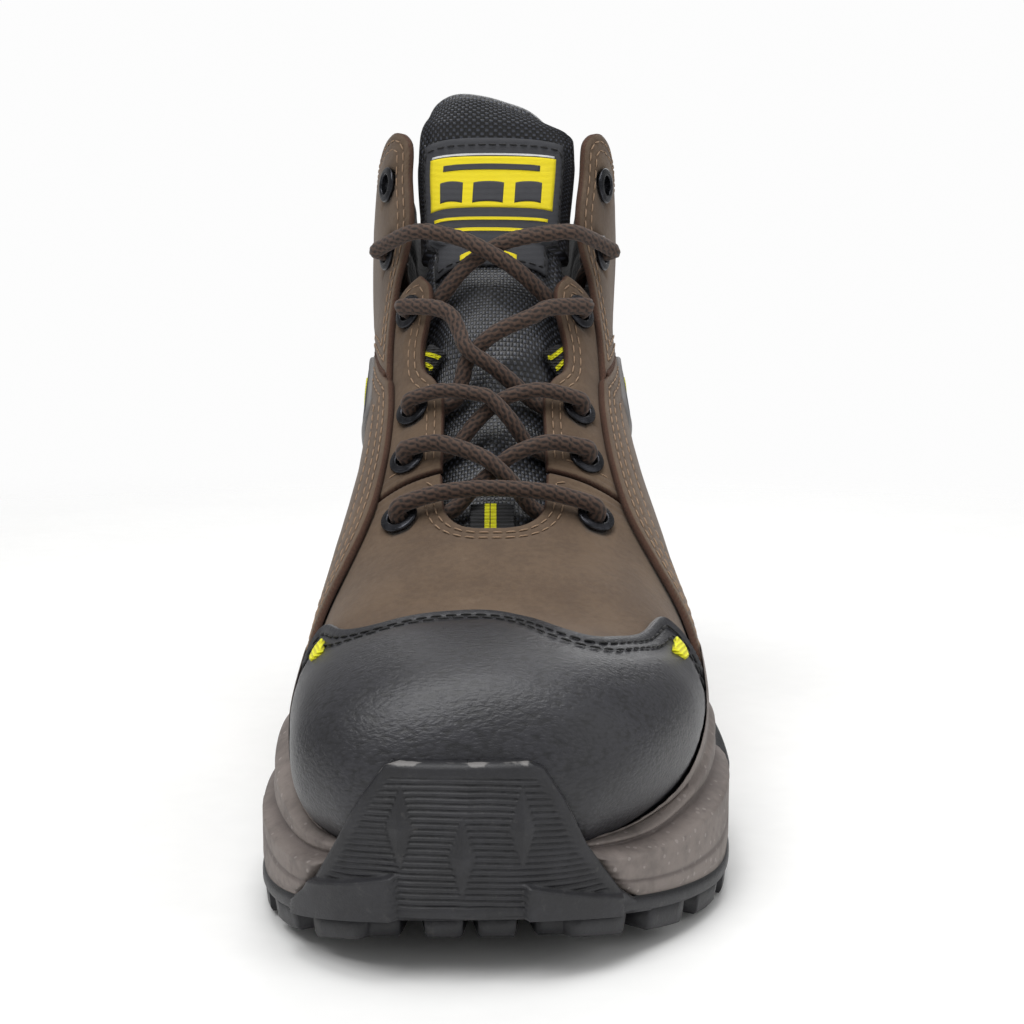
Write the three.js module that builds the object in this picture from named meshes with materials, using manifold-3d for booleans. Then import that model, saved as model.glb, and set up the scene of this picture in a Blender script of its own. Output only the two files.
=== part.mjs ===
// A left safety work boot, about 6 inches high, with a steel toe cap.
// Millimetres, +Z up. The toe points along -Y, the medial side is -X and the lateral side is +X.
// The origin is on the ground, under the middle of the sole.
import * as THREE from 'three';
import { mergeVertices } from 'three/addons/utils/BufferGeometryUtils.js';
import Module from 'manifold-3d';

const wasm = await Module();
wasm.setup();

// ---------- driving dimensions ----------
const BOOT_LENGTH = 304; // outsole, toe to heel
const BALL_WIDTH = 114; // outsole, at the ball of the foot
const UPPER_HEIGHT = 186; // ground to the top of the collar tabs

const GAP = 0.35; // clearance between pieces that touch
const LEATHER = 2.0; // vamp and eyestays
const OVERLAY = 1.8; // quarters, collar panels, toe cover and backstay
const STEEL = 1.8; // wall of the toe cap
const BOARD = 1.8; // insole board
const LINING = 1.5; // lining on its own
const COUNTER = 1.8; // heel stiffener
const COLLAR_FOAM = 9; // padded collar, leather side to foot side

const LACE = 4.2; // lace diameter
const LACE_BEND = 2.6; // radius of its middle line where it turns into an eyelet
const EYELET_CLEARANCE = 0.7; // round the lace, in the eyelet
const EYELET_WALL = 0.6;
const EYELET_OUTER = 10;
const EYELET_FLANGE = 1.2;

const LUG = 4.5; // tread depth
const OUTSOLE_WEB = 3.5; // rubber above the tread
const BUMPER_TOP = 45; // height of the rubber that wraps up the toe
const FOOTBED = 4;
const TONGUE = 6;
const WEBBING = 1.6;

// ---------- the upper's outer surface ----------
// A fan of flat sections runs from the toe up to the collar. Each row is one section:
// front or top point (y, z), bottom or back point (y, z), centre x, medial and lateral half
// widths, and how square the section is above and below its middle.
const DRAWN = { length: 304, width: 114, height: 186 };
const SECTIONS = [
  [-142.5, 24, -142.5, 24, -8, 0, 0, 2.0, 2.0],
  [-145, 37, -139, 21.5, -8, 19, 19, 2.2, 2.2],
  [-142.5, 50, -133, 20.5, -7.5, 28.5, 29, 2.2, 2.4],
  [-133.5, 59, -125, 19.5, -6.5, 36, 37.5, 2.2, 2.6],
  [-115, 63.5, -111, 18, -4.5, 40.5, 45, 2.3, 2.8],
  [-94, 64.5, -91, 16.5, -3, 43.5, 49, 2.3, 3.0],
  [-75, 72.5, -69, 16, -2.5, 43.5, 50.5, 2.2, 3.0],
  [-56, 81.5, -45, 16.5, -2, 43, 50, 2.2, 3.0],
  [-42, 93, -19, 18, -1.7, 40.8, 47.2, 2.3, 3.0],
  [-29, 106.5, 10, 20.5, -1.7, 37.8, 44.2, 2.4, 3.0],
  [-17, 120, 42, 22.5, -1.7, 35.3, 41.2, 2.6, 2.9],
  [-7, 136, 77, 24.5, -1.5, 34, 39, 2.9, 2.8],
  [0, 148, 111, 27.5, -1, 33.5, 37, 3.2, 2.6],
  [5, 158, 138, 39, -0.5, 33.5, 36, 3.4, 2.4],
  [8, 166, 146, 66, 0, 34, 35.5, 3.6, 2.3],
  [10.5, 174, 141, 95, 0.5, 34.5, 35.5, 3.6, 2.3],
  [12, 180, 135, 122, 1, 34.5, 35, 3.6, 2.3],
  [13, 186, 133, 148, 1, 33.5, 34.5, 3.6, 2.3],
  [14, 192, 136, 166, 1, 33, 34.5, 3.6, 2.3],
].map(([ty, tz, by, bz, cx, wm, wl, nt, nb]) => {
  const ky = BOOT_LENGTH / DRAWN.length;
  const kx = BALL_WIDTH / DRAWN.width;
  const kz = UPPER_HEIGHT / DRAWN.height;
  return [ty * ky, tz * kz, by * ky, bz * kz, cx * kx, wm * kx, wl * kx, nt, nb];
});
const LAST_SECTION = SECTIONS.length - 1;

const clamp = THREE.MathUtils.clamp;
const lerp = THREE.MathUtils.lerp;

// Catmull-Rom through rows of numbers at t = 0, 1, 2 ...
function along(rows, t) {
  const last = rows.length - 1;
  const x = clamp(t, 0, last - 1e-9);
  const i = Math.floor(x);
  const f = x - i;
  const mirrored = (a, b) => a.map((v, k) => 2 * v - b[k]);
  const p0 = i > 0 ? rows[i - 1] : mirrored(rows[0], rows[1]);
  const p3 = i + 2 <= last ? rows[i + 2] : mirrored(rows[last], rows[last - 1]);
  return rows[i].map((b, k) => {
    const [a, c, d] = [p0[k], rows[i + 1][k], p3[k]];
    return 0.5 * (2 * b + (c - a) * f + (2 * a - 5 * b + 4 * c - d) * f * f
      + (3 * b - a - 3 * c + d) * f * f * f);
  });
}

// A smooth y(x) through points [x, y], x rising.
function curveOf(points) {
  return (x) => {
    const last = points.length - 1;
    if (x <= points[0][0]) return points[0][1];
    if (x >= points[last][0]) return points[last][1];
    const i = points.findIndex((p, k) => k < last && x < points[k + 1][0]);
    const f = (x - points[i][0]) / (points[i + 1][0] - points[i][0]);
    const slope = (k) => {
      const [a, b] = [points[Math.max(k - 1, 0)], points[Math.min(k + 1, last)]];
      return (b[1] - a[1]) / (b[0] - a[0]);
    };
    const w = points[i + 1][0] - points[i][0];
    const [f2, f3] = [f * f, f * f * f];
    return (2 * f3 - 3 * f2 + 1) * points[i][1] + (f3 - 2 * f2 + f) * w * slope(i)
      + (3 * f2 - 2 * f3) * points[i + 1][1] + (f3 - f2) * w * slope(i + 1);
  };
}

// The surface point of section s at angle a in degrees: 0 is top or front, 180 bottom or back,
// and positive angles are lateral.
function surface(s, a) {
  const [ty, tz, by, bz, cx, wm, wl, nt, nb] = along(SECTIONS, s);
  const rad = THREE.MathUtils.degToRad(a);
  const [c, q] = [Math.cos(rad), Math.sin(rad)];
  const n = c >= 0 ? nt : nb;
  const r = (Math.abs(c) ** n + Math.abs(q) ** n) ** (-1 / n);
  const up = r * c;
  return new THREE.Vector3(
    cx + (q < 0 ? wm : wl) * r * q,
    (ty + by) / 2 + ((ty - by) / 2) * up,
    (tz + bz) / 2 + ((tz - bz) / 2) * up,
  );
}

const TOE_TIP_NORMAL = new THREE.Vector3(0, -0.8, -0.6);
function outward(s, a) {
  if (s < 0.05) return TOE_TIP_NORMAL.clone();
  const ds = surface(s + 0.03, a).sub(surface(s - 0.03, a));
  const da = surface(s, a + 1).sub(surface(s, a - 1));
  return da.cross(ds).normalize();
}

// The point that lies d outside the upper's surface.
function skin(s, a, d) {
  return surface(s, a).addScaledVector(outward(s, a), d);
}

// ---------- solids ----------
function toSolid(geometry) {
  const bare = new THREE.BufferGeometry();
  const source = geometry.index ? geometry.toNonIndexed() : geometry;
  bare.setAttribute('position', source.getAttribute('position'));
  const merged = mergeVertices(bare, 1e-3);
  const p = merged.attributes.position;
  const triangles = [];
  let volume = 0;
  for (let i = 0; i < merged.index.count; i += 3) {
    const [a, b, c] = [0, 1, 2].map((k) => merged.index.getX(i + k));
    if (a === b || b === c || a === c) continue;
    triangles.push(a, b, c);
    const [va, vb, vc] = [a, b, c].map((k) => new THREE.Vector3().fromBufferAttribute(p, k));
    volume += va.dot(vb.cross(vc));
  }
  if (volume < 0) triangles.reverse();
  return new wasm.Manifold(new wasm.Mesh({
    numProp: 3,
    vertProperties: new Float32Array(p.array),
    triVerts: new Uint32Array(triangles),
  }));
}

function toGeometry(solid) {
  const { vertProperties, triVerts, numProp, numVert } = solid.getMesh();
  const xyz = new Float32Array(numVert * 3);
  for (let i = 0; i < numVert; i += 1) {
    xyz.set(vertProperties.subarray(i * numProp, i * numProp + 3), i * 3);
  }
  const geometry = new THREE.BufferGeometry();
  geometry.setAttribute('position', new THREE.BufferAttribute(xyz, 3));
  geometry.setIndex(new THREE.BufferAttribute(new Uint32Array(triVerts), 1));
  geometry.computeVertexNormals();
  return geometry;
}

// A closed skin from rows of points; each row is a ring when ringed, or a strip when not.
function solidFromRows(front, back, ringed) {
  const faces = [];
  const quad = (a, b, c, d) => faces.push(a, b, c, a, c, d);
  const rows = front.length - 1;
  const columns = front[0].length - 1;
  for (let i = 0; i < rows; i += 1) {
    for (let j = 0; j < columns; j += 1) {
      quad(front[i][j], front[i][j + 1], front[i + 1][j + 1], front[i + 1][j]);
      quad(back[i][j], back[i + 1][j], back[i + 1][j + 1], back[i][j + 1]);
    }
    if (!ringed) {
      quad(front[i][0], front[i + 1][0], back[i + 1][0], back[i][0]);
      quad(front[i][columns], back[i][columns], back[i + 1][columns], front[i + 1][columns]);
    }
  }
  for (let j = 0; j < columns; j += 1) {
    quad(front[0][j], back[0][j], back[0][j + 1], front[0][j + 1]);
    quad(front[rows][j], front[rows][j + 1], back[rows][j + 1], back[rows][j]);
  }
  return toSolid(new THREE.BufferGeometry().setFromPoints(faces));
}

// Every layer of the upper shares these section and angle lines, so layers never cross. Each
// piece starts and ends on one of them.
const CAP_END = 4.5; // steel cap
const BEAD_END = 5.0; // rubber strip on the cap's rear edge
const FORE_END = 6.2; // forepart lining
const VAMP_END = 8.05;
const BOARD_END = 11.6;
const COUNTER_LOW = 12.3;
const COLLAR_START = 13.8;
const BACKSTAY_LOW = 13.9;
const COUNTER_HIGH = 14.6;
const BACKSTAY_HIGH = 16.6;
const COLLAR_END = 17.6;
const S_STEP = 0.75;
const S_KNOTS = [
  0, 0.5, CAP_END, BEAD_END, FORE_END, VAMP_END, BOARD_END, COUNTER_LOW, COLLAR_START,
  COUNTER_HIGH, BACKSTAY_HIGH, COLLAR_END, LAST_SECTION,
];
const S_LINES = S_KNOTS.flatMap((s, i) => {
  if (i === 0) return [s];
  const steps = Math.ceil((s - S_KNOTS[i - 1]) / S_STEP);
  return Array.from({ length: steps }, (_, k) => lerp(S_KNOTS[i - 1], s, (k + 1) / steps));
});
const A_STEP = 18;

// A layer of the upper between two heights over its surface. The heights may change over it.
function layer({ s0 = 0, s1, a0, a1, outer, inner }) {
  const height = (h, s, a) => (typeof h === 'function' ? h(s, a) : h);
  const ss = [s0, ...S_LINES.filter((s) => s > s0 + 0.02 && s < s1 - 0.02), s1];
  const ringed = a1 - a0 >= 360;
  const aa = [a0];
  for (let a = Math.ceil((a0 + 1) / A_STEP) * A_STEP; a < a1 - 1; a += A_STEP) aa.push(a);
  aa.push(a1);
  const rows = (h) => ss.map((s) => aa.map((a) => skin(s, a, height(h, s, a))));
  return solidFromRows(rows(outer), rows(inner), ringed);
}

// A thick block that stands over a patch of the surface. map takes 0..1, 0..1 to [s, a].
const BLOCK = { over: 7, under: -12 };
function block(map, rows, columns, over = BLOCK.over, under = BLOCK.under) {
  const grid = (d) => Array.from({ length: rows + 1 }, (_, i) => (
    Array.from({ length: columns + 1 }, (__, j) => skin(...map(i / rows, j / columns), d))
  ));
  return solidFromRows(grid(over), grid(under), false);
}

// The block between two angle curves, from section s0 to s1.
function between(s0, s1, low, high, rows = 16, columns = 8) {
  return block((u, v) => {
    const s = lerp(s0, s1, u);
    return [s, lerp(low(s), high(s), v)];
  }, rows, columns);
}

// Mirrors angles for the medial side.
const side = (name) => (name === 'medial' ? -1 : 1);
const mirrored = (name, f) => (s) => side(name) * f(s);

// ---------- sole ----------
// Plan outline rows: y, medial x, lateral x, from toe to heel.
const OUTLINE = [
  [-152, -8, -8], [-150.3, -22, 7], [-143, -35.5, 22], [-128, -47, 37.5], [-108, -54, 49.5],
  [-85, -56, 55], [-60, -53.5, 56], [-30, -46.5, 53], [5, -41, 48], [45, -40, 45.5],
  [85, -41.5, 45.5], [115, -41, 44], [135, -35.5, 38], [146.5, -24, 26], [151.3, -11, 13],
  [152, 1, 1],
].map(([y, m, l]) => [
  y * (BOOT_LENGTH / DRAWN.length), m * (BALL_WIDTH / DRAWN.width), l * (BALL_WIDTH / DRAWN.width),
]);
const OUTLINE_END = OUTLINE.length - 1;
const kLength = BOOT_LENGTH / DRAWN.length;
const TREAD_RISE = curveOf([
  [-152, 8.5], [-135, 4], [-115, 1], [-98, 0], [150, 0],
].map(([y, z]) => [y * kLength, z]));
const WALL_TOP = curveOf([
  [-152, 29], [-132, 29], [-112, 37], [-95, 44], [-72, 50], [-30, 48], [20, 45], [60, 46],
  [105, 52], [152, 56],
].map(([y, z]) => [y * kLength, z * (UPPER_HEIGHT / DRAWN.height)]));

// A point on the outline, moved inwards by inset along the outline's own normal.
function edgePoint(t, lateral, inset) {
  const at = (x) => {
    const [y, m, l] = along(OUTLINE, x);
    return new THREE.Vector2(lateral ? l : m, y);
  };
  const tangent = at(t + 0.02).sub(at(t - 0.02)).normalize();
  const inwards = lateral
    ? new THREE.Vector2(-tangent.y, tangent.x)
    : new THREE.Vector2(tangent.y, -tangent.x);
  if (t < 1e-6) inwards.set(0, 1);
  if (t > OUTLINE_END - 1e-6) inwards.set(0, -1);
  return at(t).addScaledVector(inwards, inset);
}

// A block under or round the foot: levels are [inset, height(y)] from the bottom up.
const SOLE_ROWS = 36;
function soleBlock(levels, t0 = 0, t1 = OUTLINE_END) {
  const rows = Array.from({ length: SOLE_ROWS + 1 }, (_, i) => {
    const u = i / SOLE_ROWS;
    const t = lerp(t0, t1, u);
    const point = (lateral, [inset, height]) => {
      const p = edgePoint(t, lateral, inset);
      return new THREE.Vector3(p.x, p.y, height(p.y));
    };
    const ring = [...levels.map((l) => point(false, l)), ...levels.toReversed().map((l) => point(true, l))];
    return [...ring, ring[0]];
  });
  const faces = [];
  for (let i = 0; i < SOLE_ROWS; i += 1) {
    for (let j = 0; j + 1 < rows[0].length; j += 1) {
      faces.push(rows[i][j], rows[i + 1][j], rows[i + 1][j + 1]);
      faces.push(rows[i][j], rows[i + 1][j + 1], rows[i][j + 1]);
    }
  }
  for (const [ring, flip] of [[rows[0], false], [rows.at(-1), true]]) {
    const n = levels.length;
    for (let k = 0; k + 1 < n; k += 1) {
      const q = [ring[k], ring[k + 1], ring[2 * n - 2 - k], ring[2 * n - 1 - k]];
      const [a, b, c, d] = flip ? q.toReversed() : q;
      faces.push(a, b, c, a, c, d);
    }
  }
  return toSolid(new THREE.BufferGeometry().setFromPoints(faces));
}

// An outline in one plane, pushed through along the third axis.
function prism(points, depth, place) {
  const shape = new THREE.Shape(points.map(([x, y]) => new THREE.Vector2(x, y)));
  const geometry = new THREE.ExtrudeGeometry(shape, { depth, bevelEnabled: false });
  geometry.applyMatrix4(place);
  return toSolid(geometry);
}

// Places a side view, drawn as (y, z), so that it is pushed through along +X from x.
const alongX = (x) => new THREE.Matrix4().makeBasis(
  new THREE.Vector3(0, 1, 0), new THREE.Vector3(0, 0, 1), new THREE.Vector3(1, 0, 0),
).setPosition(x, 0, 0);

// Everything within a height of the upper's surface, as one block.
function withinSurface(height) {
  const ring = (s) => {
    const points = [];
    for (let a = -180; a <= 180; a += A_STEP) points.push(skin(s, a, height));
    return points;
  };
  const rows = S_LINES.map(ring);
  const top = rows.at(-1).reduce((sum, p) => sum.add(p), new THREE.Vector3())
    .multiplyScalar(1 / rows.at(-1).length);
  const spine = rows.map((row, i) => row.map(() => (i === 0 ? rows[0][0] : top)));
  return solidFromRows(rows, spine, true);
}
const UPPER_CLEAR = OVERLAY + 2 * GAP; // the sole stands this far off the upper's surface

// Front view of the toe bumper, x and z, which narrows as it climbs.
const BUMPER_VIEW = [
  [-50, -2], [-49, 6], [-42, 15], [-36, 27], [-31, 37], [-26, BUMPER_TOP - 1],
  [-23, BUMPER_TOP], [5, BUMPER_TOP], [8.5, BUMPER_TOP - 1.5], [12.5, 37], [17, 27], [24.5, 15.5],
  [35, 6], [37, -2],
];
const BUMPER_BACK = -98 * kLength;
function bumperPrism(grow) {
  const middle = BUMPER_VIEW.reduce((sum, p) => sum + p[0], 0) / BUMPER_VIEW.length;
  const points = BUMPER_VIEW.map(([x, z]) => [
    (x + Math.sign(x - middle) * grow) * (BALL_WIDTH / DRAWN.width), z + (z > 0 ? grow : 0),
  ]);
  const place = new THREE.Matrix4().makeRotationX(Math.PI / 2)
    .setPosition(0, BUMPER_BACK + grow, 0);
  return prism(points, 80, place);
}

const WALL = [ // how the wall leans in as it climbs: share of its height, inset
  [0, 1.2], [0.18, 0.2], [0.38, 0.6], [0.6, 2.6], [0.8, 5.2], [1, 7.6],
];
const rise = (from, to, share) => (y) => lerp(from(y), to(y), share);
const plateau = (h) => (y) => TREAD_RISE(y) + h;

function makeOutsole(upper) {
  const web = soleBlock([
    [0.8, plateau(LUG)], [0, plateau(LUG + OUTSOLE_WEB)],
  ]);
  const band = soleBlock([[1.6, plateau(0)], [0.8, plateau(LUG + 0.4)]]);
  const bumperTop = () => BUMPER_TOP + 4;
  const front = soleBlock([
    [0, plateau(LUG + 1)], [0, () => 20], [0.6, () => 34], [2.2, bumperTop],
  ]).intersect(bumperPrism(0)).subtract(upper);
  return web.add(band.intersect(treadLugs())).add(front);
}

// Tread: a pair of edge lugs and a pair of chevron lugs in each row.
const LUG_PITCH = 21;
const LUG_LONG = 14;
function treadLugs() {
  const place = new THREE.Matrix4().makeTranslation(0, 0, -5);
  const blocks = [];
  for (let y = -138 * kLength; y < 140 * kLength; y += LUG_PITCH) {
    for (const sign of [-1, 1]) {
      const x = (v) => sign * v * (BALL_WIDTH / DRAWN.width);
      blocks.push(prism([
        [x(22), y], [x(62), y - 5], [x(62), y - 5 + LUG_LONG], [x(22), y + LUG_LONG],
      ], 30, place));
      blocks.push(prism([
        [x(2), y + 5], [x(18), y - 3], [x(18), y - 5 + LUG_LONG], [x(2), y + 3 + LUG_LONG],
      ], 30, place));
    }
  }
  return blocks.reduce((sum, b) => sum.add(b));
}

// The midsole is a cup: walls round the upper, and foam under it.
const SOLE_FLOOR = plateau(LUG + OUTSOLE_WEB + GAP);
function makeMidsole(upper) {
  const body = soleBlock(WALL.map(([share, inset]) => [inset, rise(SOLE_FLOOR, WALL_TOP, share)]));
  return body.subtract(upper).subtract(bumperPrism(GAP))
    .subtract(makeSupport('medial', GAP)).subtract(makeSupport('lateral', GAP));
}

// A moulded support let into the midsole's wall at the waist. grow widens its recess.
const SUPPORT_SPAN = { medial: [5.9, 7.9], lateral: [5.7, 7.9] }; // along the outline
const SUPPORT_DEPTH = 2.2;
const SUPPORT_PROUD = 0.8;
const WALL_INSET = curveOf(WALL);
function makeSupport(name, grow) {
  const lateral = name === 'lateral';
  const [t0, t1] = SUPPORT_SPAN[name];
  const [columns, rows] = [8, 4];
  const pace = (BOOT_LENGTH / OUTLINE_END);
  const grid = (d) => Array.from({ length: columns + 1 }, (_, i) => {
    const u = i / columns;
    const tall = 0.5 * Math.sin(Math.PI * (0.12 + 0.76 * u));
    const t = lerp(t0 - grow / pace, t1 + grow / pace, u);
    return Array.from({ length: rows + 1 }, (__, j) => {
      const share = 0.1 + tall * (j / rows);
      const p = edgePoint(t, lateral, WALL_INSET(share) - d);
      const edge = grow * (2 * j / rows - 1);
      return new THREE.Vector3(p.x, p.y, rise(SOLE_FLOOR, WALL_TOP, share)(p.y) + edge);
    });
  });
  return solidFromRows(grid(SUPPORT_PROUD + 4 * grow), grid(-SUPPORT_DEPTH - grow), false);
}

// ---------- inside the shoe ----------
const LINING_FACE = -(LEATHER + GAP + STEEL + GAP + LINING); // the side that meets the sock
const UNDER_STEEL = -(LEATHER + GAP + STEEL + GAP);
const UNDER_LEATHER = -(LEATHER + GAP);
const BACK_ANGLE = (a) => Math.abs(((a + 540) % 360) - 180); // 0 front, 180 bottom or back

const CAP_HEM = 126; // angle that its sides reach
const THROAT_S = 6.9;
const REAR_START = FORE_END + 0.035;
const COUNTER_A = 108;
const BOARD_A = 144;

const makeSteelCap = () => layer({
  s1: CAP_END, a0: -CAP_HEM, a1: CAP_HEM, outer: UNDER_LEATHER, inner: UNDER_LEATHER - STEEL,
});
const makeCapBead = () => layer({
  s0: CAP_END + 0.03, s1: BEAD_END, a0: -CAP_HEM, a1: CAP_HEM, outer: UNDER_LEATHER,
  inner: UNDER_LEATHER - STEEL,
});

function makeForeLining() {
  return layer({ s1: FORE_END, a0: -180, a1: 180, outer: UNDER_STEEL, inner: LINING_FACE });
}

// The gap in the lining for the tongue, and where the padded collar takes over from it.
const LINING_MOUTH = curveOf([[6.1, 42], [7.5, 43], [9.5, 45], [11.5, 50], [13.5, 60]]);
const COLLAR_MOUTH = 63;
const TAB_BACK = 73; // the angle where the lining steps in to pass under the collar tabs

function makeRearLining() {
  const outer = (s, a) => {
    const back = BACK_ANGLE(a);
    if (s < COUNTER_LOW - 0.5) return back > BOARD_A - A_STEP - 1 ? UNDER_STEEL : UNDER_LEATHER;
    return back > COUNTER_A - A_STEP - 1 || back < TAB_BACK ? -(COUNTER + 2 * GAP) : -GAP;
  };
  const tube = layer({
    s0: REAR_START, s1: COLLAR_START - 0.03, a0: 30, a1: 330, outer, inner: LINING_FACE,
  });
  const mouth = between(6.0, COLLAR_START + 0.8, (s) => -LINING_MOUTH(s), LINING_MOUTH, 17, 6);
  return tube.subtract(mouth);
}

function makeCollarPadding() {
  const inner = (s, a) => {
    const swell = Math.sin(Math.PI * clamp((s - COLLAR_START) / (COLLAR_END - COLLAR_START), 0, 1));
    const ends = clamp((BACK_ANGLE(a) - COLLAR_MOUTH) / 25, 0, 1);
    return lerp(LINING_FACE, -COLLAR_FOAM, swell * ends);
  };
  const outer = (s, a) => (
    s < COUNTER_HIGH + S_STEP && BACK_ANGLE(a) > COUNTER_A - A_STEP - 1 ? -(COUNTER + 2 * GAP) : -GAP
  );
  const ring = layer({
    s0: COLLAR_START, s1: COLLAR_END, a0: COLLAR_MOUTH, a1: 360 - COLLAR_MOUTH, outer, inner,
  });
  return ring.subtract(collarTrim(2.5));
}

// The top line dips behind the front tabs. Everything above it is trimmed off.
const TOP_LINE = curveOf([[30, 17.25], [50, 17.25], [62, 17.0], [90, 16.7], [140, 16.9], [180, 17.2]]);
function collarTrim(lift) {
  const raised = lift / 8;
  return block((u, v) => {
    const a = lerp(25, 335, v);
    return [lerp(TOP_LINE(BACK_ANGLE(a)) + raised * 0.35, LAST_SECTION, u), a];
  }, 2, 31, 8, -16);
}

const makeBoard = () => layer({
  s0: 0.5, s1: BOARD_END, a0: BOARD_A, a1: 360 - BOARD_A, outer: UNDER_LEATHER,
  inner: UNDER_LEATHER - BOARD,
});
const makeShank = () => layer({
  s0: 8.2, s1: 11.9, a0: 171, a1: 189, outer: -GAP, inner: -LEATHER,
});
const makeCounter = () => layer({
  s0: COUNTER_LOW, s1: COUNTER_HIGH, a0: COUNTER_A, a1: 360 - COUNTER_A, outer: -GAP,
  inner: -GAP - COUNTER,
});

// The footbed lies on the lining. It folds at the waist, where its rear half lifts out.
const FOOTBED_FOLD = 25; // y
const FOOTBED_TOE = -132;
const FOOTBED_HEEL = 131;
function makeFootbed(y0, y1, inside) {
  const floor = [];
  for (let s = 1.2; s < 13; s += 0.4) {
    const p = skin(s, 180, LINING_FACE - GAP);
    floor.push([p.y, p.z + FOOTBED]);
  }
  const top = curveOf(floor);
  const steps = 12;
  const line = Array.from({ length: steps + 1 }, (_, i) => {
    const y = lerp(y0, y1, i / steps);
    return [y, top(y)];
  });
  const side0 = alongX(-BALL_WIDTH / 2);
  return prism([[y0, 0], [y1, 0], ...line.toReversed()], BALL_WIDTH, side0).intersect(inside);
}

// ---------- leather ----------
const MARGIN = 144; // angle where the upper turns in under the foot
const THROAT = curveOf([
  [6.88, 4], [6.95, 9], [7.1, 13], [7.35, 16], [7.8, 17.5], [8.4, 18.5], [9.2, 19], [9.7, 21],
]);
const QUARTER_FRONT = curveOf([
  [5.8, 112], [5.95, 92], [6.15, 78], [6.5, 66], [7.0, 54], [7.7, 45], [8.6, 41.5],
  [9.6, 41.5], [10.6, 44], [11.4, 46],
]);
const EYESTAY_INNER = curveOf([
  [8.1, 18], [8.7, 18.6], [9.5, 20], [9.85, 24], [10.1, 29], [10.5, 30], [10.8, 28.5],
  [11.2, 27], [11.6, 28], [11.9, 32],
]);
const CAP_EDGE = curveOf([ // section of the cover's rear edge, by angle
  [-150, 5.3], [-100, 5.4], [-80, 5.65], [-66, 5.85], [-56, 5.75], [-46, 5.25], [-35, 4.95], [-23, 4.95],
  [-12, 4.95], [2, 4.9], [12, 4.62], [22, 4.2], [32, 4.18], [41, 4.85], [49, 5.62], [58, 5.7],
  [66, 5.62], [80, 5.5], [100, 5.4], [150, 5.3],
]);

function makeVamp() {
  const body = layer({ s1: VAMP_END, a0: -MARGIN, a1: MARGIN, outer: 0, inner: -LEATHER });
  const throat = between(THROAT_S, 8.3, (s) => -THROAT(s), THROAT, 10, 4);
  return body.subtract(throat);
}

function makeEyestay(name) {
  const k = side(name);
  const body = layer({
    s0: 8.11, s1: 12.1, a0: k > 0 ? 5 : -75, a1: k > 0 ? 75 : -5, outer: 0, inner: -LEATHER,
  });
  const keep = between(8.0, 11.95, mirrored(name, EYESTAY_INNER), () => k * 58, 16, 4);
  return body.intersect(keep);
}

// The seam between the lower quarter and the collar panel, section by angle.
const COLLAR_SEAM = curveOf([
  [40, 10.1], [50, 10.8], [62, 12.2], [80, 13.6], [110, 14.9], [145, 15.6], [180, 15.8],
]);
const TAB_EDGE = curveOf([
  [10.0, 44], [11.2, 44], [12.2, 41], [12.8, 37], [13.6, 35], [15, 36], [16.4, 37], [17, 41],
  [17.3, 46],
]);

function makeQuarter(name) {
  const k = side(name);
  const [a0, a1] = k > 0 ? [30, 179.2] : [-179.2, -30];
  const body = layer({ s0: 5.7, s1: 16.2, a0, a1, outer: GAP + OVERLAY, inner: GAP });
  const keep = between(5.6, 16.4, mirrored(name, QUARTER_FRONT), () => k * 182, 24, 12);
  const above = block((u, v) => {
    const a = lerp(20, 184, v);
    return [lerp(COLLAR_SEAM(a) - 0.04, 17.2, u), k * a];
  }, 6, 16);
  const under = block((u, v) => [lerp(5.2, 12.0, u), k * lerp(MARGIN, 186, v)], 16, 3);
  return body.intersect(keep).subtract(above).subtract(under);
}

function makeCollarPanel(name) {
  const k = side(name);
  const [a0, a1] = k > 0 ? [28, 179.2] : [-179.2, -28];
  const body = layer({ s0: 9.9, s1: 17.6, a0, a1, outer: GAP + OVERLAY, inner: GAP });
  const keep = block((u, v) => {
    const a = lerp(25, 182, v);
    return [lerp(COLLAR_SEAM(a) + 0.04, TOP_LINE(a), u), k * a];
  }, 10, 18);
  const mouth = between(9.6, 17.9, () => k * 10, mirrored(name, TAB_EDGE), 20, 4);
  return body.intersect(keep).subtract(mouth);
}

const makeToeCover = () => {
  const body = layer({ s1: 6.3, a0: -MARGIN, a1: MARGIN, outer: GAP + OVERLAY, inner: GAP });
  const behind = block((u, v) => {
    const a = lerp(-152, 152, v);
    return [lerp(CAP_EDGE(a), 7.2, u), a];
  }, 3, 38);
  return body.subtract(behind);
};

const BACKSTAY_HALF = A_STEP; // degrees either side of the middle of the heel
function makeBackstay() {
  const d = 2 * GAP + OVERLAY;
  return layer({
    s0: BACKSTAY_LOW, s1: BACKSTAY_HIGH, a0: 180 - BACKSTAY_HALF, a1: 180 + BACKSTAY_HALF,
    outer: d + OVERLAY, inner: d,
  });
}

// Inset trim on the toe cover and on each side.
const onTop = (d = 0) => 2 * GAP + OVERLAY + d;
const makeToeFlash = (name) => block((u, v) => (
  [lerp(4.95, 5.3, u), side(name) * lerp(54, 62, v)]
), 1, 1, onTop(0.8), onTop());
const WINDOW = { s: [10.5, 12.0], a: [56, 84] };
const makeWindow = (name) => block((u, v) => [
  lerp(WINDOW.s[0], WINDOW.s[1], u) + 0.9 * (v - 0.3),
  side(name) * (lerp(WINDOW.a[0], WINDOW.a[1], v)),
], 4, 4, onTop(0.9), onTop());

// ---------- tongue ----------
const TONGUE_DEPTH = LACE + LEATHER + 2.5; // how far it lies below the eyestays' outer face
const TONGUE_START = FORE_END + 0.25;
const TONGUE_FOLD = 13.6;
const TONGUE_EDGE = curveOf([[6.15, 36], [8, 37], [10, 39], [12, 43], [13.6, 46], [16, 44], [18, 38]]);

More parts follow.
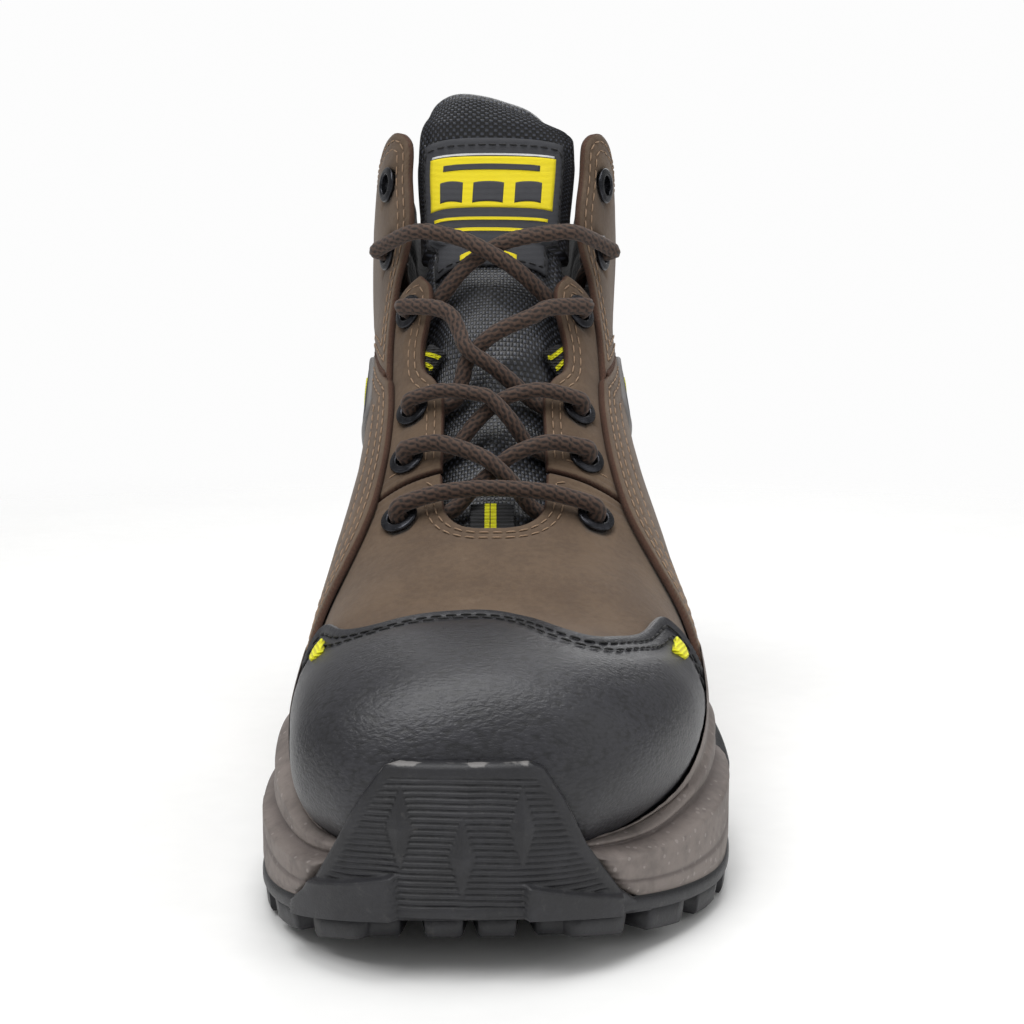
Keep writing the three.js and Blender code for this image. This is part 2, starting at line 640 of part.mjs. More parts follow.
function tongueHeight(s, a) {
  const base = clamp((s - THROAT_S + 0.15) / 0.45, 0, 1);
  const edge = clamp((Math.abs(a) - 0.72 * TONGUE_EDGE(s)) / (0.28 * TONGUE_EDGE(s)), 0, 1);
  const sunk = -TONGUE_DEPTH + edge * edge * 1.8;
  return lerp(UNDER_LEATHER - 0.3, sunk, base);
}

// The tongue bends at a line across it. The lower part's end slopes away from the line, so that
// the upper part can also lean back a little.
const LEAN_BACK = THREE.MathUtils.degToRad(10);
const foldPoint = () => skin(TONGUE_FOLD, 0, -TONGUE_DEPTH);
function beyondFold(above, turn, clearance) {
  const [front, back] = [surface(TONGUE_FOLD, 0), surface(TONGUE_FOLD, 180)];
  const angle = Math.atan2(back.z - front.z, back.y - front.y) - turn;
  const e = new THREE.Vector2(Math.cos(angle), Math.sin(angle));
  const n = new THREE.Vector2(-e.y, e.x).multiplyScalar(above ? 1 : -1);
  const fold = foldPoint();
  const from = new THREE.Vector2(fold.y, fold.z).addScaledVector(n, -clearance);
  const corner = (u, v) => {
    const p = from.clone().addScaledVector(e, u).addScaledVector(n, v);
    return [p.x, p.y];
  };
  const points = [corner(-40, 0), corner(90, 0), corner(90, 90), corner(-40, 90)];
  return prism(above ? points : points.toReversed(), BALL_WIDTH, alongX(-BALL_WIDTH / 2));
}

function makeTongueLower() {
  const rows = 18;
  const grid = (drop) => Array.from({ length: rows + 1 }, (_, i) => (
    Array.from({ length: 9 }, (__, j) => {
      const s = lerp(TONGUE_START, TONGUE_FOLD + 0.5, (i / rows) ** 1.5);
      const a = TONGUE_EDGE(s) * (j / 4 - 1);
      return skin(s, a, tongueHeight(s, a) - drop);
    })
  ));
  return solidFromRows(grid(0), grid(TONGUE), false).subtract(beyondFold(true, LEAN_BACK, GAP));
}

const TONGUE_TOP = UPPER_HEIGHT + 10;
const TONGUE_HALF = 22; // the upper part passes between the collar tabs
function makeTongueUpper() {
  const rows = 9;
  const grid = (face) => Array.from({ length: rows + 1 }, (_, i) => {
    const u = i / rows;
    const s = lerp(TONGUE_FOLD - 0.7, 17.3, u);
    return Array.from({ length: 9 }, (__, j) => {
      const v = j / 4 - 1;
      const swell = 0.8 * Math.sin(Math.PI * clamp(u - 0.15, 0, 1));
      const depth = -TONGUE_DEPTH - TONGUE / 2 + face * (TONGUE / 2 + swell);
      const p = skin(s, v * TONGUE_EDGE(s) * 0.96, depth + Math.abs(v) ** 3 * 0.5);
      const crown = u > 0.7 ? (TONGUE_TOP - p.z) * ((u - 0.7) / 0.3) * (1 - 0.35 * v * v) : 0;
      p.z += crown;
      p.x = clamp(p.x, -TONGUE_HALF, TONGUE_HALF);
      return p;
    });
  });
  return solidFromRows(grid(1), grid(-1), false).subtract(beyondFold(false, 0, 0));
}

const LABEL = { s: [13.95, 16.4], a: 26 };
function makeLabel() {
  const rows = 6;
  const grid = (d) => Array.from({ length: rows + 1 }, (_, i) => {
    const u = i / rows;
    const s = lerp(LABEL.s[0], LABEL.s[1], u);
    const sunk = -TONGUE_DEPTH + 0.8;
    return Array.from({ length: 5 }, (__, j) => skin(s, LABEL.a * (j / 2 - 1), sunk + d));
  });
  return solidFromRows(grid(1.6), grid(0.7), false);
}

// A webbing strap across the foot of the tongue, which the lace can run under.
const KEEPER = { s: [7.12, 7.56], a: 7 };
function makeKeeper() {
  const grid = (d) => Array.from({ length: 4 }, (_, i) => (
    Array.from({ length: 5 }, (__, j) => {
      const [s, a] = [lerp(...KEEPER.s, i / 3), KEEPER.a * (j / 2 - 1)];
      return skin(s, a, tongueHeight(s, a) + GAP + 0.3 + d);
    })
  ));
  return solidFromRows(grid(WEBBING), grid(0), false);
}
const LACE_LOOP = { s: [10.2, 10.62], a: [25.5, 34] };
const LOOP_SLACK = 0.5; // under the leather
const makeWebbingLoop = (name) => block((u, v) => (
  [lerp(...LACE_LOOP.s, u), side(name) * lerp(...LACE_LOOP.a, v)]
), 2, 2, UNDER_LEATHER - LOOP_SLACK, UNDER_LEATHER - LOOP_SLACK - WEBBING);

// ---------- eyelets ----------
// Section and angle of each pair, from the toe up.
const EYELETS = [[7.38, 32], [8.5, 32], [9.4, 32], [11.25, 36.5], [13.35, 46], [15.35, 46]];
const TAB_ROWS = [4, 5];
const HOLE = LACE / 2 + EYELET_CLEARANCE;
const BARREL = HOLE + EYELET_WALL;
const BARREL_FOOT = 0.9; // length of the barrel past the leather

function eyeletFrame(row, name) {
  const [s, a] = EYELETS[row];
  const at = side(name) * a;
  const normal = outward(s, at);
  const seat = TAB_ROWS.includes(row) ? GAP + OVERLAY : 0;
  const foot = TAB_ROWS.includes(row) ? GAP : -LEATHER;
  return { point: surface(s, at), normal, seat, foot };
}

function axisMatrix({ point, normal }, d) {
  const turn = new THREE.Quaternion().setFromUnitVectors(new THREE.Vector3(0, 1, 0), normal);
  const at = point.clone().addScaledVector(normal, d);
  return new THREE.Matrix4().compose(at, turn, new THREE.Vector3(1, 1, 1));
}

const EYELET_SIDES = 12;
function makeEyelet(row, name) {
  const f = eyeletFrame(row, name);
  const low = f.foot - BARREL_FOOT;
  const high = f.seat + GAP;
  const outer = EYELET_OUTER / 2;
  const profile = [
    [HOLE, low], [BARREL, low], [BARREL, high], [outer, high],
    [outer - 0.5, high + EYELET_FLANGE * 0.8], [HOLE + 0.6, high + EYELET_FLANGE], [HOLE, low],
  ].map(([r, y]) => new THREE.Vector2(r, y));
  const geometry = new THREE.LatheGeometry(profile, EYELET_SIDES);
  geometry.applyMatrix4(axisMatrix(f, 0));
  return toSolid(geometry);
}

function eyeletHoles(rows, name) {
  return rows.map((row) => {
    const geometry = new THREE.CylinderGeometry(BARREL + GAP, BARREL + GAP, 14, EYELET_SIDES);
    geometry.applyMatrix4(axisMatrix(eyeletFrame(row, name), 0));
    return toSolid(geometry);
  });
}
const pierced = (solid, rows, name) => (
  eyeletHoles(rows, name).reduce((left, hole) => left.subtract(hole), solid)
);

// ---------- lace ----------
const R_LACE = LACE / 2;
const OVER = GAP + EYELET_FLANGE + R_LACE + GAP; // middle line over a flange
const UNDER = LEATHER + BARREL_FOOT + R_LACE + GAP; // depth of the middle line below a barrel

// The direction, square to the eyelet, from its centre towards a point.
function towards(frame, point) {
  const d = point.clone().sub(frame.point);
  return d.addScaledVector(frame.normal, -d.dot(frame.normal)).normalize();
}

// The lace's way down through an eyelet: it turns in from one side and out to another.
const TURN = [90, 60, 30, 0].map(THREE.MathUtils.degToRad);
function through(row, name, from, to) {
  const f = eyeletFrame(row, name);
  const at = (d, run, h) => f.point.clone().addScaledVector(d, run).addScaledVector(f.normal, h);
  const [din, dout] = [towards(f, from), towards(f, to)];
  const high = f.seat + OVER - LACE_BEND;
  const low = BARREL_FOOT + R_LACE + GAP - f.foot - LACE_BEND;
  const bend = (d, h, sign) => TURN.map((t) => (
    at(d, LACE_BEND * (1 - Math.cos(t)), h + sign * LACE_BEND * Math.sin(t))
  ));
  return [...bend(din, high, 1), ...bend(dout, -low, -1).toReversed()];
}

// Where the lace crosses the throat above one row: [section, share of the way out, height].
// It comes out from under the eyestay on one side and goes over the eyestay on the other.
const THROAT_HALF = [15, 15.5, 17, 27];
const CROSS_AT = [0.54, 0.73, 0.38, 0.42]; // share of the way up where the two ends cross
const CROSS_ANGLE = [0, 0, -9, -5]; // and the angle that they cross at
const CROSS_END = [1, 1, 0.86, 0.8]; // share of the way up where it turns towards the eyelet
function crossingPoints(row, from, high) {
  const s0 = EYELETS[row][0];
  const s1 = EYELETS[row + 1][0];
  const [k0, k1] = [side(from), -side(from)];
  const half = THROAT_HALF[row];
  const seat = eyeletFrame(row + 1, 'lateral').seat;
  const middle = high ? OVER - 0.6 : OVER - 0.6 - LACE - GAP;
  const at = (u, a, h) => skin(lerp(s0, s1, u), a, h);
  const mid = CROSS_AT[row];
  const late = (u) => lerp(mid, CROSS_END[row], u);
  const first = 0.3 * mid;
  const cross = CROSS_ANGLE[row];
  return [
    at(0.5 * first, k0 * (half + 4), -UNDER), at(first, k0 * half * 0.88, -UNDER + 0.4),
    at(lerp(first, mid, 0.5), lerp(k0 * half * 0.88, cross, 0.5), lerp(-UNDER, middle, 0.6)),
    at(mid, cross, middle),
    at(late(0.32), lerp(cross, k1 * half, 0.42), lerp(middle, OVER, 0.7)),
    at(late(0.62), k1 * half * 0.92, OVER + 0.2 + 0.7 * seat),
    at(late(0.85), k1 * (half + 5), OVER + 0.1 + seat),
  ];
}

function strand(start) {
  const points = [];
  let here = start;
  for (let row = 0; row < 4; row += 1) {
    const there = here === 'medial' ? 'lateral' : 'medial';
    const cross = crossingPoints(row, here, here === 'lateral');
    const after = row < 3 ? crossingPoints(row + 1, there, true)[0] : lastTuck(there);
    points.push(...cross, ...through(row + 1, there, cross.at(-1), after));
    here = there;
  }
  return points;
}
const lastTuck = (name) => skin(EYELETS[4][0] - 0.1, side(name) * (EYELETS[4][1] + 8), -R_LACE);

function lacePoints() {
  const bar = [-24, -15, 0, 15, 24].map((a) => (
    skin(EYELETS[0][0] + 0.1 - Math.abs(a) * 0.003, a, OVER - (Math.abs(a) < 5 ? 0.6 : 0))
  ));
  const start = (name) => through(
    0, name, name === 'medial' ? bar[0] : bar.at(-1), crossingPoints(0, name, true)[0],
  );
  return [
    ...strand('medial').toReversed(), ...start('medial').toReversed(), ...bar,
    ...start('lateral'), ...strand('lateral'),
  ];
}

// A round cord through its points, with one ring at each.
function cord(points, diameter, perPoint = 1) {
  const path = new THREE.CatmullRomCurve3(points, false, 'centripetal');
  path.getUtoTmapping = (u) => u;
  const shape = new THREE.Shape();
  shape.absarc(0, 0, diameter / 2, 0, 2 * Math.PI, false);
  const geometry = new THREE.ExtrudeGeometry(shape, {
    extrudePath: path, steps: (points.length - 1) * perPoint, bevelEnabled: false, curveSegments: 4,
  });
  return toSolid(geometry);
}
const makeLace = () => cord(lacePoints(), LACE);

// The loose end of the lace drops into the boot from the fifth eyelet and lies on the footbed.
const AGLET = { length: 22, diameter: 3.4 };
const TAIL = [
  [26.6, 26.0, 143.9], [25.2, 30.6, 139.2], [21.4, 33, 134], [17.8, 31, 124], [17, 26, 108],
  [17, 19, 90], [17, 13, 70], [17.4, 8.5, 53], [18, 2, 40.5], [18.4, -8, 34.2], [18, -24, 31.4],
  [16.2, -42, 30.2], [13.4, -60, 29.6], [11.8, -78, 29.6], [12.4, -96, 30.4],
];
function tailPoints(name) {
  const lace = lacePoints();
  const ends = name === 'lateral' ? lace.slice(-2) : [lace[1], lace[0]];
  const way = ends[1].clone().sub(ends[0]).normalize();
  const [start, next] = [GAP, GAP + R_LACE].map((d) => ends[1].clone().addScaledVector(way, d));
  return [start, next, ...TAIL.map(([x, y, z]) => new THREE.Vector3(side(name) * x, y, z))];
}
const makeTail = (name) => cord(tailPoints(name), LACE, 2);
function makeAglet(name) {
  const [before, end] = tailPoints(name).slice(-2);
  const way = end.clone().sub(before).normalize();
  const geometry = new THREE.CylinderGeometry(
    AGLET.diameter / 2, AGLET.diameter / 2, AGLET.length, 8,
  );
  const turn = new THREE.Quaternion().setFromUnitVectors(new THREE.Vector3(0, 1, 0), way);
  const middle = end.clone().addScaledVector(way, GAP + AGLET.length / 2);
  geometry.applyMatrix4(new THREE.Matrix4().compose(middle, turn, new THREE.Vector3(1, 1, 1)));
  return toSolid(geometry);
}

// ---------- pull loop ----------
const LOOP = { width: 22, rise: 26, depth: 9 };
// Its front leg stands on the backstay's top edge, which is highest at its corners.
function loopRoot() {
  const top = skin(BACKSTAY_HIGH, 180 + A_STEP * 0.85, onTop(OVERLAY / 2));
  const middle = skin(BACKSTAY_HIGH, 180, onTop(OVERLAY / 2));
  return new THREE.Vector3(0, middle.y - WEBBING / 5, top.z + GAP);
}
function makePullLoop() {
  const root = loopRoot();
  const outer = [];
  const inner = [];
  for (let i = 0; i <= 8; i += 1) {
    const a = Math.PI * (i / 8);
    const [r, h] = [LOOP.depth / 2, LOOP.rise - LOOP.depth / 2];
    outer.push([r - r * Math.cos(a), h + r * Math.sin(a)]);
    const q = r - WEBBING;
    inner.push([r - q * Math.cos(a), h + q * Math.sin(a)]);
  }
  const section = [
    [0, 0], ...outer, [LOOP.depth, 0], [LOOP.depth - WEBBING, 0], ...inner.toReversed(), [WEBBING, 0],
  ].map(([y, z]) => [y + root.y, z + root.z]);
  return prism(section, LOOP.width, alongX(-LOOP.width / 2));
}

// ---------- assembly ----------
const finish = (colour, roughness, metalness = 0) => (
  new THREE.MeshStandardMaterial({ color: colour, roughness, metalness })
);
const NUBUCK = finish(0x6d5a4a, 0.85);
const TOE_LEATHER = finish(0x2a2a2e, 0.55);
const RUBBER = finish(0x1d1d21, 0.7);
const FOAM = finish(0x82797a, 0.75);
const STEEL_PLATE = finish(0x9a9ca0, 0.35, 1);
const BLACK_MESH = finish(0x25262b, 0.9);
const BOARD_CARD = finish(0xb09a78, 0.9);
const LACE_CORD = finish(0x4a392f, 0.85);
const EYELET_PAINT = finish(0x17181a, 0.25, 0.6);
const YELLOW = finish(0xe8d800, 0.6);

const boot = new THREE.Group();
function add(name, solid, material) {
  const mesh = new THREE.Mesh(toGeometry(solid), material);
  mesh.name = name;
  boot.add(mesh);
}

const upper = withinSurface(UPPER_CLEAR);
const inside = withinSurface(LINING_FACE - GAP);
add('outsole', makeOutsole(upper), RUBBER);
add('midsole', makeMidsole(upper), FOAM);
add('insole_board', makeBoard(), BOARD_CARD);
add('steel_shank', makeShank(), STEEL_PLATE);
add('footbed_forepart', makeFootbed(FOOTBED_TOE, FOOTBED_FOLD - GAP, inside), BLACK_MESH);
add('footbed_heel', makeFootbed(FOOTBED_FOLD + GAP, FOOTBED_HEEL, inside), BLACK_MESH);

add('steel_toe_cap', makeSteelCap(), STEEL_PLATE);
add('toe_cap_bead', makeCapBead(), RUBBER);
add('heel_counter', makeCounter(), BOARD_CARD);
add('forepart_lining', makeForeLining(), BLACK_MESH);
add('quarter_lining', makeRearLining(), BLACK_MESH);
add('collar_padding', makeCollarPadding(), BLACK_MESH);

const bothSides = ['medial', 'lateral'];
const vamp = bothSides.reduce((left, name) => pierced(left, [0], name), makeVamp());
add('vamp', vamp, NUBUCK);
add('toe_cap_cover', makeToeCover(), TOE_LEATHER);
add('backstay', makeBackstay(), NUBUCK);
for (const name of bothSides) {
  add(`eyestay_${name}`, pierced(makeEyestay(name), [1, 2, 3], name), NUBUCK);
  add(`quarter_${name}`, makeQuarter(name), NUBUCK);
  add(`collar_panel_${name}`, pierced(makeCollarPanel(name), TAB_ROWS, name), NUBUCK);
  add(`midsole_support_${name}`, makeSupport(name, 0), RUBBER);
  add(`toe_flash_${name}`, makeToeFlash(name), YELLOW);
  add(`side_badge_${name}`, makeWindow(name), YELLOW);
  add(`webbing_loop_${name}`, makeWebbingLoop(name), BLACK_MESH);
  add(`lace_tail_${name}`, makeTail(name), LACE_CORD);
  add(`lace_aglet_${name}`, makeAglet(name), EYELET_PAINT);
  EYELETS.forEach((_, row) => add(`eyelet_${name}_${row + 1}`, makeEyelet(row, name), EYELET_PAINT));
}

add('tongue_lower', makeTongueLower(), BLACK_MESH);
add('tongue_upper', makeTongueUpper(), BLACK_MESH);
add('tongue_label', makeLabel(), YELLOW);
add('tongue_lace_keeper', makeKeeper(), BLACK_MESH);
add('lace', makeLace(), LACE_CORD);
add('heel_pull_loop', makePullLoop(), BLACK_MESH);

export default boot;
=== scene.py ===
"""A steel toe work boot: leather upper, padded tongue, braided lace, sculpted midsole, rubber sole."""
import math

import bpy
import numpy as np
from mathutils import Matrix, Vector
from mathutils.bvhtree import BVHTree
from mathutils.geometry import delaunay_2d_cdt


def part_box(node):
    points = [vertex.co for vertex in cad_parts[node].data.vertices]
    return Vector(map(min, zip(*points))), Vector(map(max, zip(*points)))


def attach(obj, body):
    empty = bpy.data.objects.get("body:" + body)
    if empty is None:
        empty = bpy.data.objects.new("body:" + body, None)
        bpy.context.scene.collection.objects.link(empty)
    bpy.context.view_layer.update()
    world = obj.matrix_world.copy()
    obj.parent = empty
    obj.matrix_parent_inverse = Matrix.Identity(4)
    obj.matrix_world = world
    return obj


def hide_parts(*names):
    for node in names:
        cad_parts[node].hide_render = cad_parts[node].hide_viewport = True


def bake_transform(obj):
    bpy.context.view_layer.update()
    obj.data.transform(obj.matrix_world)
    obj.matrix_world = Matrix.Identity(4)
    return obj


bl_info = {
    "name": "Steel Toe Work Boot",
    "version": (1, 0, 0),
    "blender": (4, 5, 0),
    "location": "3D View > Sidebar > Boot",
    "description": "Builds the leather, rubber and cloth of a lace-up safety boot round its frame",
    "category": "Object",
}

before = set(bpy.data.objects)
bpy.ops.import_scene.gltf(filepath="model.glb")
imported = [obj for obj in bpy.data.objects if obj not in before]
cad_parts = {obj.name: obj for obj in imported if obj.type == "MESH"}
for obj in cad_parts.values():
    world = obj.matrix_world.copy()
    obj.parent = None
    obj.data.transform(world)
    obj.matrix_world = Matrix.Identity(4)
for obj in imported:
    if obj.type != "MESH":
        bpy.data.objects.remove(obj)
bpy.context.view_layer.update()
MM = 0.001  # all sizes below are millimetres

# ---------- sizes ----------
GAP = 0.35  # clearance between pieces that touch
LEATHER = 2.0
OVERLAY = 1.8  # quarters, collar panels and toe cover
STEEL = 1.8
LINING_FACE = -(LEATHER + GAP + STEEL + GAP + 1.5)
UNDER_LEATHER = -(LEATHER + GAP)
ON_TOP = 2 * GAP + OVERLAY
TONGUE = 6.0
TONGUE_DEPTH = 4.2 + LEATHER + 2.5
EYELET_HOLE = 2.8
EYELET_BARREL = 3.4
PUNCHED = EYELET_BARREL + 0.06  # radius of the holes in the leather
EYELET_REAR = 4.7  # radius of the rolled rear rim
LUG = 4.5
LUG_ROOT = 0.9  # how far a lug is sunk into the rubber above it
OUTSOLE_WEB = 3.5
BUMPER_TOP = 45.0
FOOTBED = 4.0
FOOTBED_FOLD = 25.0
WEBBING = 1.6
CAMERA_AT = (-8.1, -481.2, 138.9)
CAMERA_PITCH = 7.38  # degrees below level
CAMERA_YAW = 1.56
CAMERA_LENS = 59.8

# ---------- the upper's surface ----------
# Front or top (y, z), bottom or back (y, z), centre x, medial and lateral half width, squareness
# above and below the middle, for a fan of flat sections from the toe to the collar.
SECTIONS = np.array([
    [-142.5, 24, -142.5, 24, -8, 0, 0, 2.0, 2.0],
    [-145, 37, -139, 21.5, -8, 19, 19, 2.2, 2.2],
    [-142.5, 50, -133, 20.5, -7.5, 28.5, 29, 2.2, 2.4],
    [-133.5, 59, -125, 19.5, -6.5, 36, 37.5, 2.2, 2.6],
    [-115, 63.5, -111, 18, -4.5, 40.5, 45, 2.3, 2.8],
    [-94, 64.5, -91, 16.5, -3, 43.5, 49, 2.3, 3.0],
    [-75, 72.5, -69, 16, -2.5, 43.5, 50.5, 2.2, 3.0],
    [-56, 81.5, -45, 16.5, -2, 43, 50, 2.2, 3.0],
    [-42, 93, -19, 18, -1.7, 40.8, 47.2, 2.3, 3.0],
    [-29, 106.5, 10, 20.5, -1.7, 37.8, 44.2, 2.4, 3.0],
    [-17, 120, 42, 22.5, -1.7, 35.3, 41.2, 2.6, 2.9],
    [-7, 136, 77, 24.5, -1.5, 34, 39, 2.9, 2.8],
    [0, 148, 111, 27.5, -1, 33.5, 37, 3.2, 2.6],
    [5, 158, 138, 39, -0.5, 33.5, 36, 3.4, 2.4],
    [8, 166, 146, 66, 0, 34, 35.5, 3.6, 2.3],
    [10.5, 174, 141, 95, 0.5, 34.5, 35.5, 3.6, 2.3],
    [12, 180, 135, 122, 1, 34.5, 35, 3.6, 2.3],
    [13, 186, 133, 148, 1, 33.5, 34.5, 3.6, 2.3],
    [14, 192, 136, 166, 1, 33, 34.5, 3.6, 2.3],
], float)


def along(rows, t):
    """Catmull-Rom through rows at t = 0, 1, 2 and so on."""
    rows = np.asarray(rows, float)
    wide = np.vstack([2 * rows[0] - rows[1], rows, 2 * rows[-1] - rows[-2]])
    x = np.clip(np.asarray(t, float), 0, len(rows) - 1 - 1e-9)
    i = np.floor(x).astype(int)
    f = (x - i)[..., None]
    a, b, c, d = wide[i], wide[i + 1], wide[i + 2], wide[i + 3]
    return 0.5 * (2 * b + (c - a) * f + (2 * a - 5 * b + 4 * c - d) * f**2
                  + (3 * b - a - 3 * c + d) * f**3)


def curve_of(points):
    """A smooth y(x) through points (x, y), x rising."""
    px, py = np.array(points, float).T
    slope = np.empty_like(py)
    slope[1:-1] = (py[2:] - py[:-2]) / (px[2:] - px[:-2])
    slope[0] = (py[1] - py[0]) / (px[1] - px[0])
    slope[-1] = (py[-1] - py[-2]) / (px[-1] - px[-2])

    def value(x):
        x = np.clip(np.asarray(x, float), px[0], px[-1])
        i = np.clip(np.searchsorted(px, x, side="right") - 1, 0, len(px) - 2)
        w = px[i + 1] - px[i]
        f = (x - px[i]) / w
        return ((2 * f**3 - 3 * f**2 + 1) * py[i] + (f**3 - 2 * f**2 + f) * w * slope[i]
                + (3 * f**2 - 2 * f**3) * py[i + 1] + (f**3 - f**2) * w * slope[i + 1])
    return value


def surface(s, a):
    """Point of section s at angle a in degrees: 0 top or front, 180 bottom or back, + lateral."""
    s, a = np.broadcast_arrays(np.asarray(s, float), np.asarray(a, float))
    ty, tz, by, bz, cx, wm, wl, nt, nb = np.moveaxis(along(SECTIONS, s), -1, 0)
    c, q = np.cos(np.radians(a)), np.sin(np.radians(a))
    n = np.where(c >= 0, nt, nb)
    r = (np.abs(c)**n + np.abs(q)**n)**(-1 / n)
    up = r * c
    x = cx + np.where(q < 0, wm, wl) * r * q
    return np.stack([x, (ty + by) / 2 + (ty - by) / 2 * up, (tz + bz) / 2 + (tz - bz) / 2 * up], -1)


def unit(v):
    """Vectors scaled to length one."""
    return v / np.linalg.norm(v, axis=-1, keepdims=True)


def outward(s, a):
    """Unit normals of the surface."""
    s = np.maximum(np.asarray(s, float), 0.05)
    ds = surface(s + 0.03, a) - surface(s - 0.03, a)
    da = surface(s, np.asarray(a, float) + 1) - surface(s, np.asarray(a, float) - 1)
    return unit(np.cross(da, ds))


def skin(s, a, d):
    """The point d outside the surface."""
    return surface(s, a) + outward(s, a) * np.asarray(d, float)[..., None]


def side(name):
    return -1 if name == "medial" else 1


# ---------- noise ----------
def noise(points, size, seed=0):
    """Smooth noise from -1 to 1 over points, with lumps of a size in millimetres."""
    p = np.asarray(points, float) / size + 37.3 + seed * 11.7
    i = np.floor(p).astype(np.int64)
    f = p - i
    f = f * f * (3 - 2 * f)

    def lattice(dx, dy, dz):
        h = (i[..., 0] + dx) * 374761393 + (i[..., 1] + dy) * 668265263 + (i[..., 2] + dz) * 2147483647
        h = (h ^ (h >> 13)) * 1274126177
        return ((h ^ (h >> 16)) & 0xFFFF) / 32767.5 - 1
    total = 0
    for dx in (0, 1):
        for dy in (0, 1):
            for dz in (0, 1):
                w = ((f[..., 0] if dx else 1 - f[..., 0]) * (f[..., 1] if dy else 1 - f[..., 1])
                     * (f[..., 2] if dz else 1 - f[..., 2]))
                total = total + w * lattice(dx, dy, dz)
    return total


# ---------- meshes ----------
def piece(name, points, faces, material, body="boot", replaces=(), slot=None, uv=None,
          extra=(), face_slots=None, facts=None):
    """A mesh object from points in millimetres, riding on a body. facts are per-point numbers."""
    mesh = bpy.data.meshes.new(name)
    mesh.from_pydata((np.asarray(points, float) * MM).tolist(), [], [tuple(map(int, f)) for f in faces])
    mesh.materials.append(material)
    for m in extra:
        mesh.materials.append(m)
    if face_slots is not None:
        mesh.polygons.foreach_set("material_index", np.asarray(face_slots, np.int32))
    if uv is not None:
        layer = mesh.uv_layers.new(name="cloth")
        loops = np.empty(len(mesh.loops), np.int32)
        mesh.loops.foreach_get("vertex_index", loops)
        layer.data.foreach_set("uv", (np.asarray(uv, float)[loops] * MM).astype(np.float32).ravel())
    for key, values in (facts or {}).items():
        mesh.attributes.new(key, "FLOAT", "POINT").data.foreach_set(
            "value", np.asarray(values, np.float32))
    mesh.shade_smooth()
    mesh.validate()
    obj = bpy.data.objects.new(name, mesh)
    bpy.context.collection.objects.link(obj)
    if body:
        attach(obj, body)
    if replaces:
        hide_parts(*replaces)
    return obj


def grid_faces(rows, columns, ring=False, tube=False, flip=False, start=0):
    """Quads of a grid of rows by columns. ring closes columns, tube closes rows."""
    faces = []
    for i in range(rows if tube else rows - 1):
        for j in range(columns if ring else columns - 1):
            a = start + i * columns + j
            b = start + i * columns + (j + 1) % columns
            c = start + ((i + 1) % rows) * columns + (j + 1) % columns
            d = start + ((i + 1) % rows) * columns + j
            faces.append((d, c, b, a) if flip else (a, b, c, d))
    return faces


def closed_grid(front, back, ring=False):
    """A closed solid between two grids of points. Returns points and faces."""
    rows, columns = front.shape[:2]
    n = rows * columns
    faces = grid_faces(rows, columns, ring) + grid_faces(rows, columns, ring, flip=True, start=n)
    border = []
    if ring:
        for i, rev in ((0, True), (rows - 1, False)):
            edge = [i * columns + j for j in range(columns)]
            border += [(edge[j], edge[(j + 1) % columns], rev) for j in range(columns)]
    else:
        loop = ([(0, j) for j in range(columns)] + [(i, columns - 1) for i in range(1, rows)]
                + [(rows - 1, j) for j in range(columns - 2, -1, -1)]
                + [(i, 0) for i in range(rows - 2, 0, -1)])
        edge = [i * columns + j for i, j in loop]
        border = [(edge[k], edge[(k + 1) % len(edge)], True) for k in range(len(edge))]
    for a, b, rev in border:
        faces.append((a, a + n, b + n, b) if rev else (a, b, b + n, a + n))
    points = np.concatenate([front.reshape(-1, 3), back.reshape(-1, 3)])
    return points, facing_out(points, faces)


def tube_faces(rows, around):
    """Quads of a tube and the two faces that close its ends."""
    ends = [tuple(range(around))[::-1], tuple(range((rows - 1) * around, rows * around))]
    return grid_faces(rows, around, ring=True) + ends


def hubbed(grid, low, high):
    """Rings of points closed by a fan to a point below the first and one above the last."""
    n, m = grid.shape[:2]
    faces = grid_faces(n, m, ring=True) + [(j, (j + 1) % m, n * m) for j in range(m)]
    faces += [((n - 1) * m + (j + 1) % m, (n - 1) * m + j, n * m + 1) for j in range(m)]
    points = np.concatenate([grid.reshape(-1, 3), [[0, 0, low], [0, 0, high]]])
    return points, facing_out(points, faces)


def facing_out(points, faces):
    """Turns every face of a closed mesh if its volume comes out negative."""
    volume = 0.0
    for f in faces:
        p = points[list(f)]
        for k in range(1, len(f) - 1):
            volume += np.dot(p[0], np.cross(p[k], p[k + 1]))
    return faces if volume > 0 else [tuple(reversed(f)) for f in faces]


def resample(path, pitch):
    """Points spaced evenly along an open path, and their distances from its start."""
    path = np.asarray(path, float)
    step = np.linalg.norm(np.diff(path, axis=0), axis=1)
    total = np.concatenate([[0], np.cumsum(step)])
    count = max(int(round(total[-1] / pitch)), 2)
    at = np.linspace(0, total[-1], count + 1)
    return np.stack([np.interp(at, total, path[:, k]) for k in range(path.shape[1])], -1), at


def smooth_path(points, pitch):
    """A Catmull-Rom curve through points, sampled evenly."""
    points = np.asarray(points, float)
    return resample(along(points, np.linspace(0, len(points) - 1, len(points) * 16)), pitch)[0]


def path_frames(path, up=None):
    """Tangent, side and up vectors along a path. The up vector is carried along the path."""
    t = unit(np.gradient(path, axis=0))
    if up is None:
        u = unit(np.cross(t[0], [0.3, 0.2, 0.9]))
        ups = []
        for k in range(len(path)):
            u = unit(u - t[k] * np.dot(u, t[k]))
            ups.append(u)
        up = np.array(ups)
    else:
        up = unit(up - t * np.sum(up * t, axis=1, keepdims=True))
    return t, np.cross(t, up), up


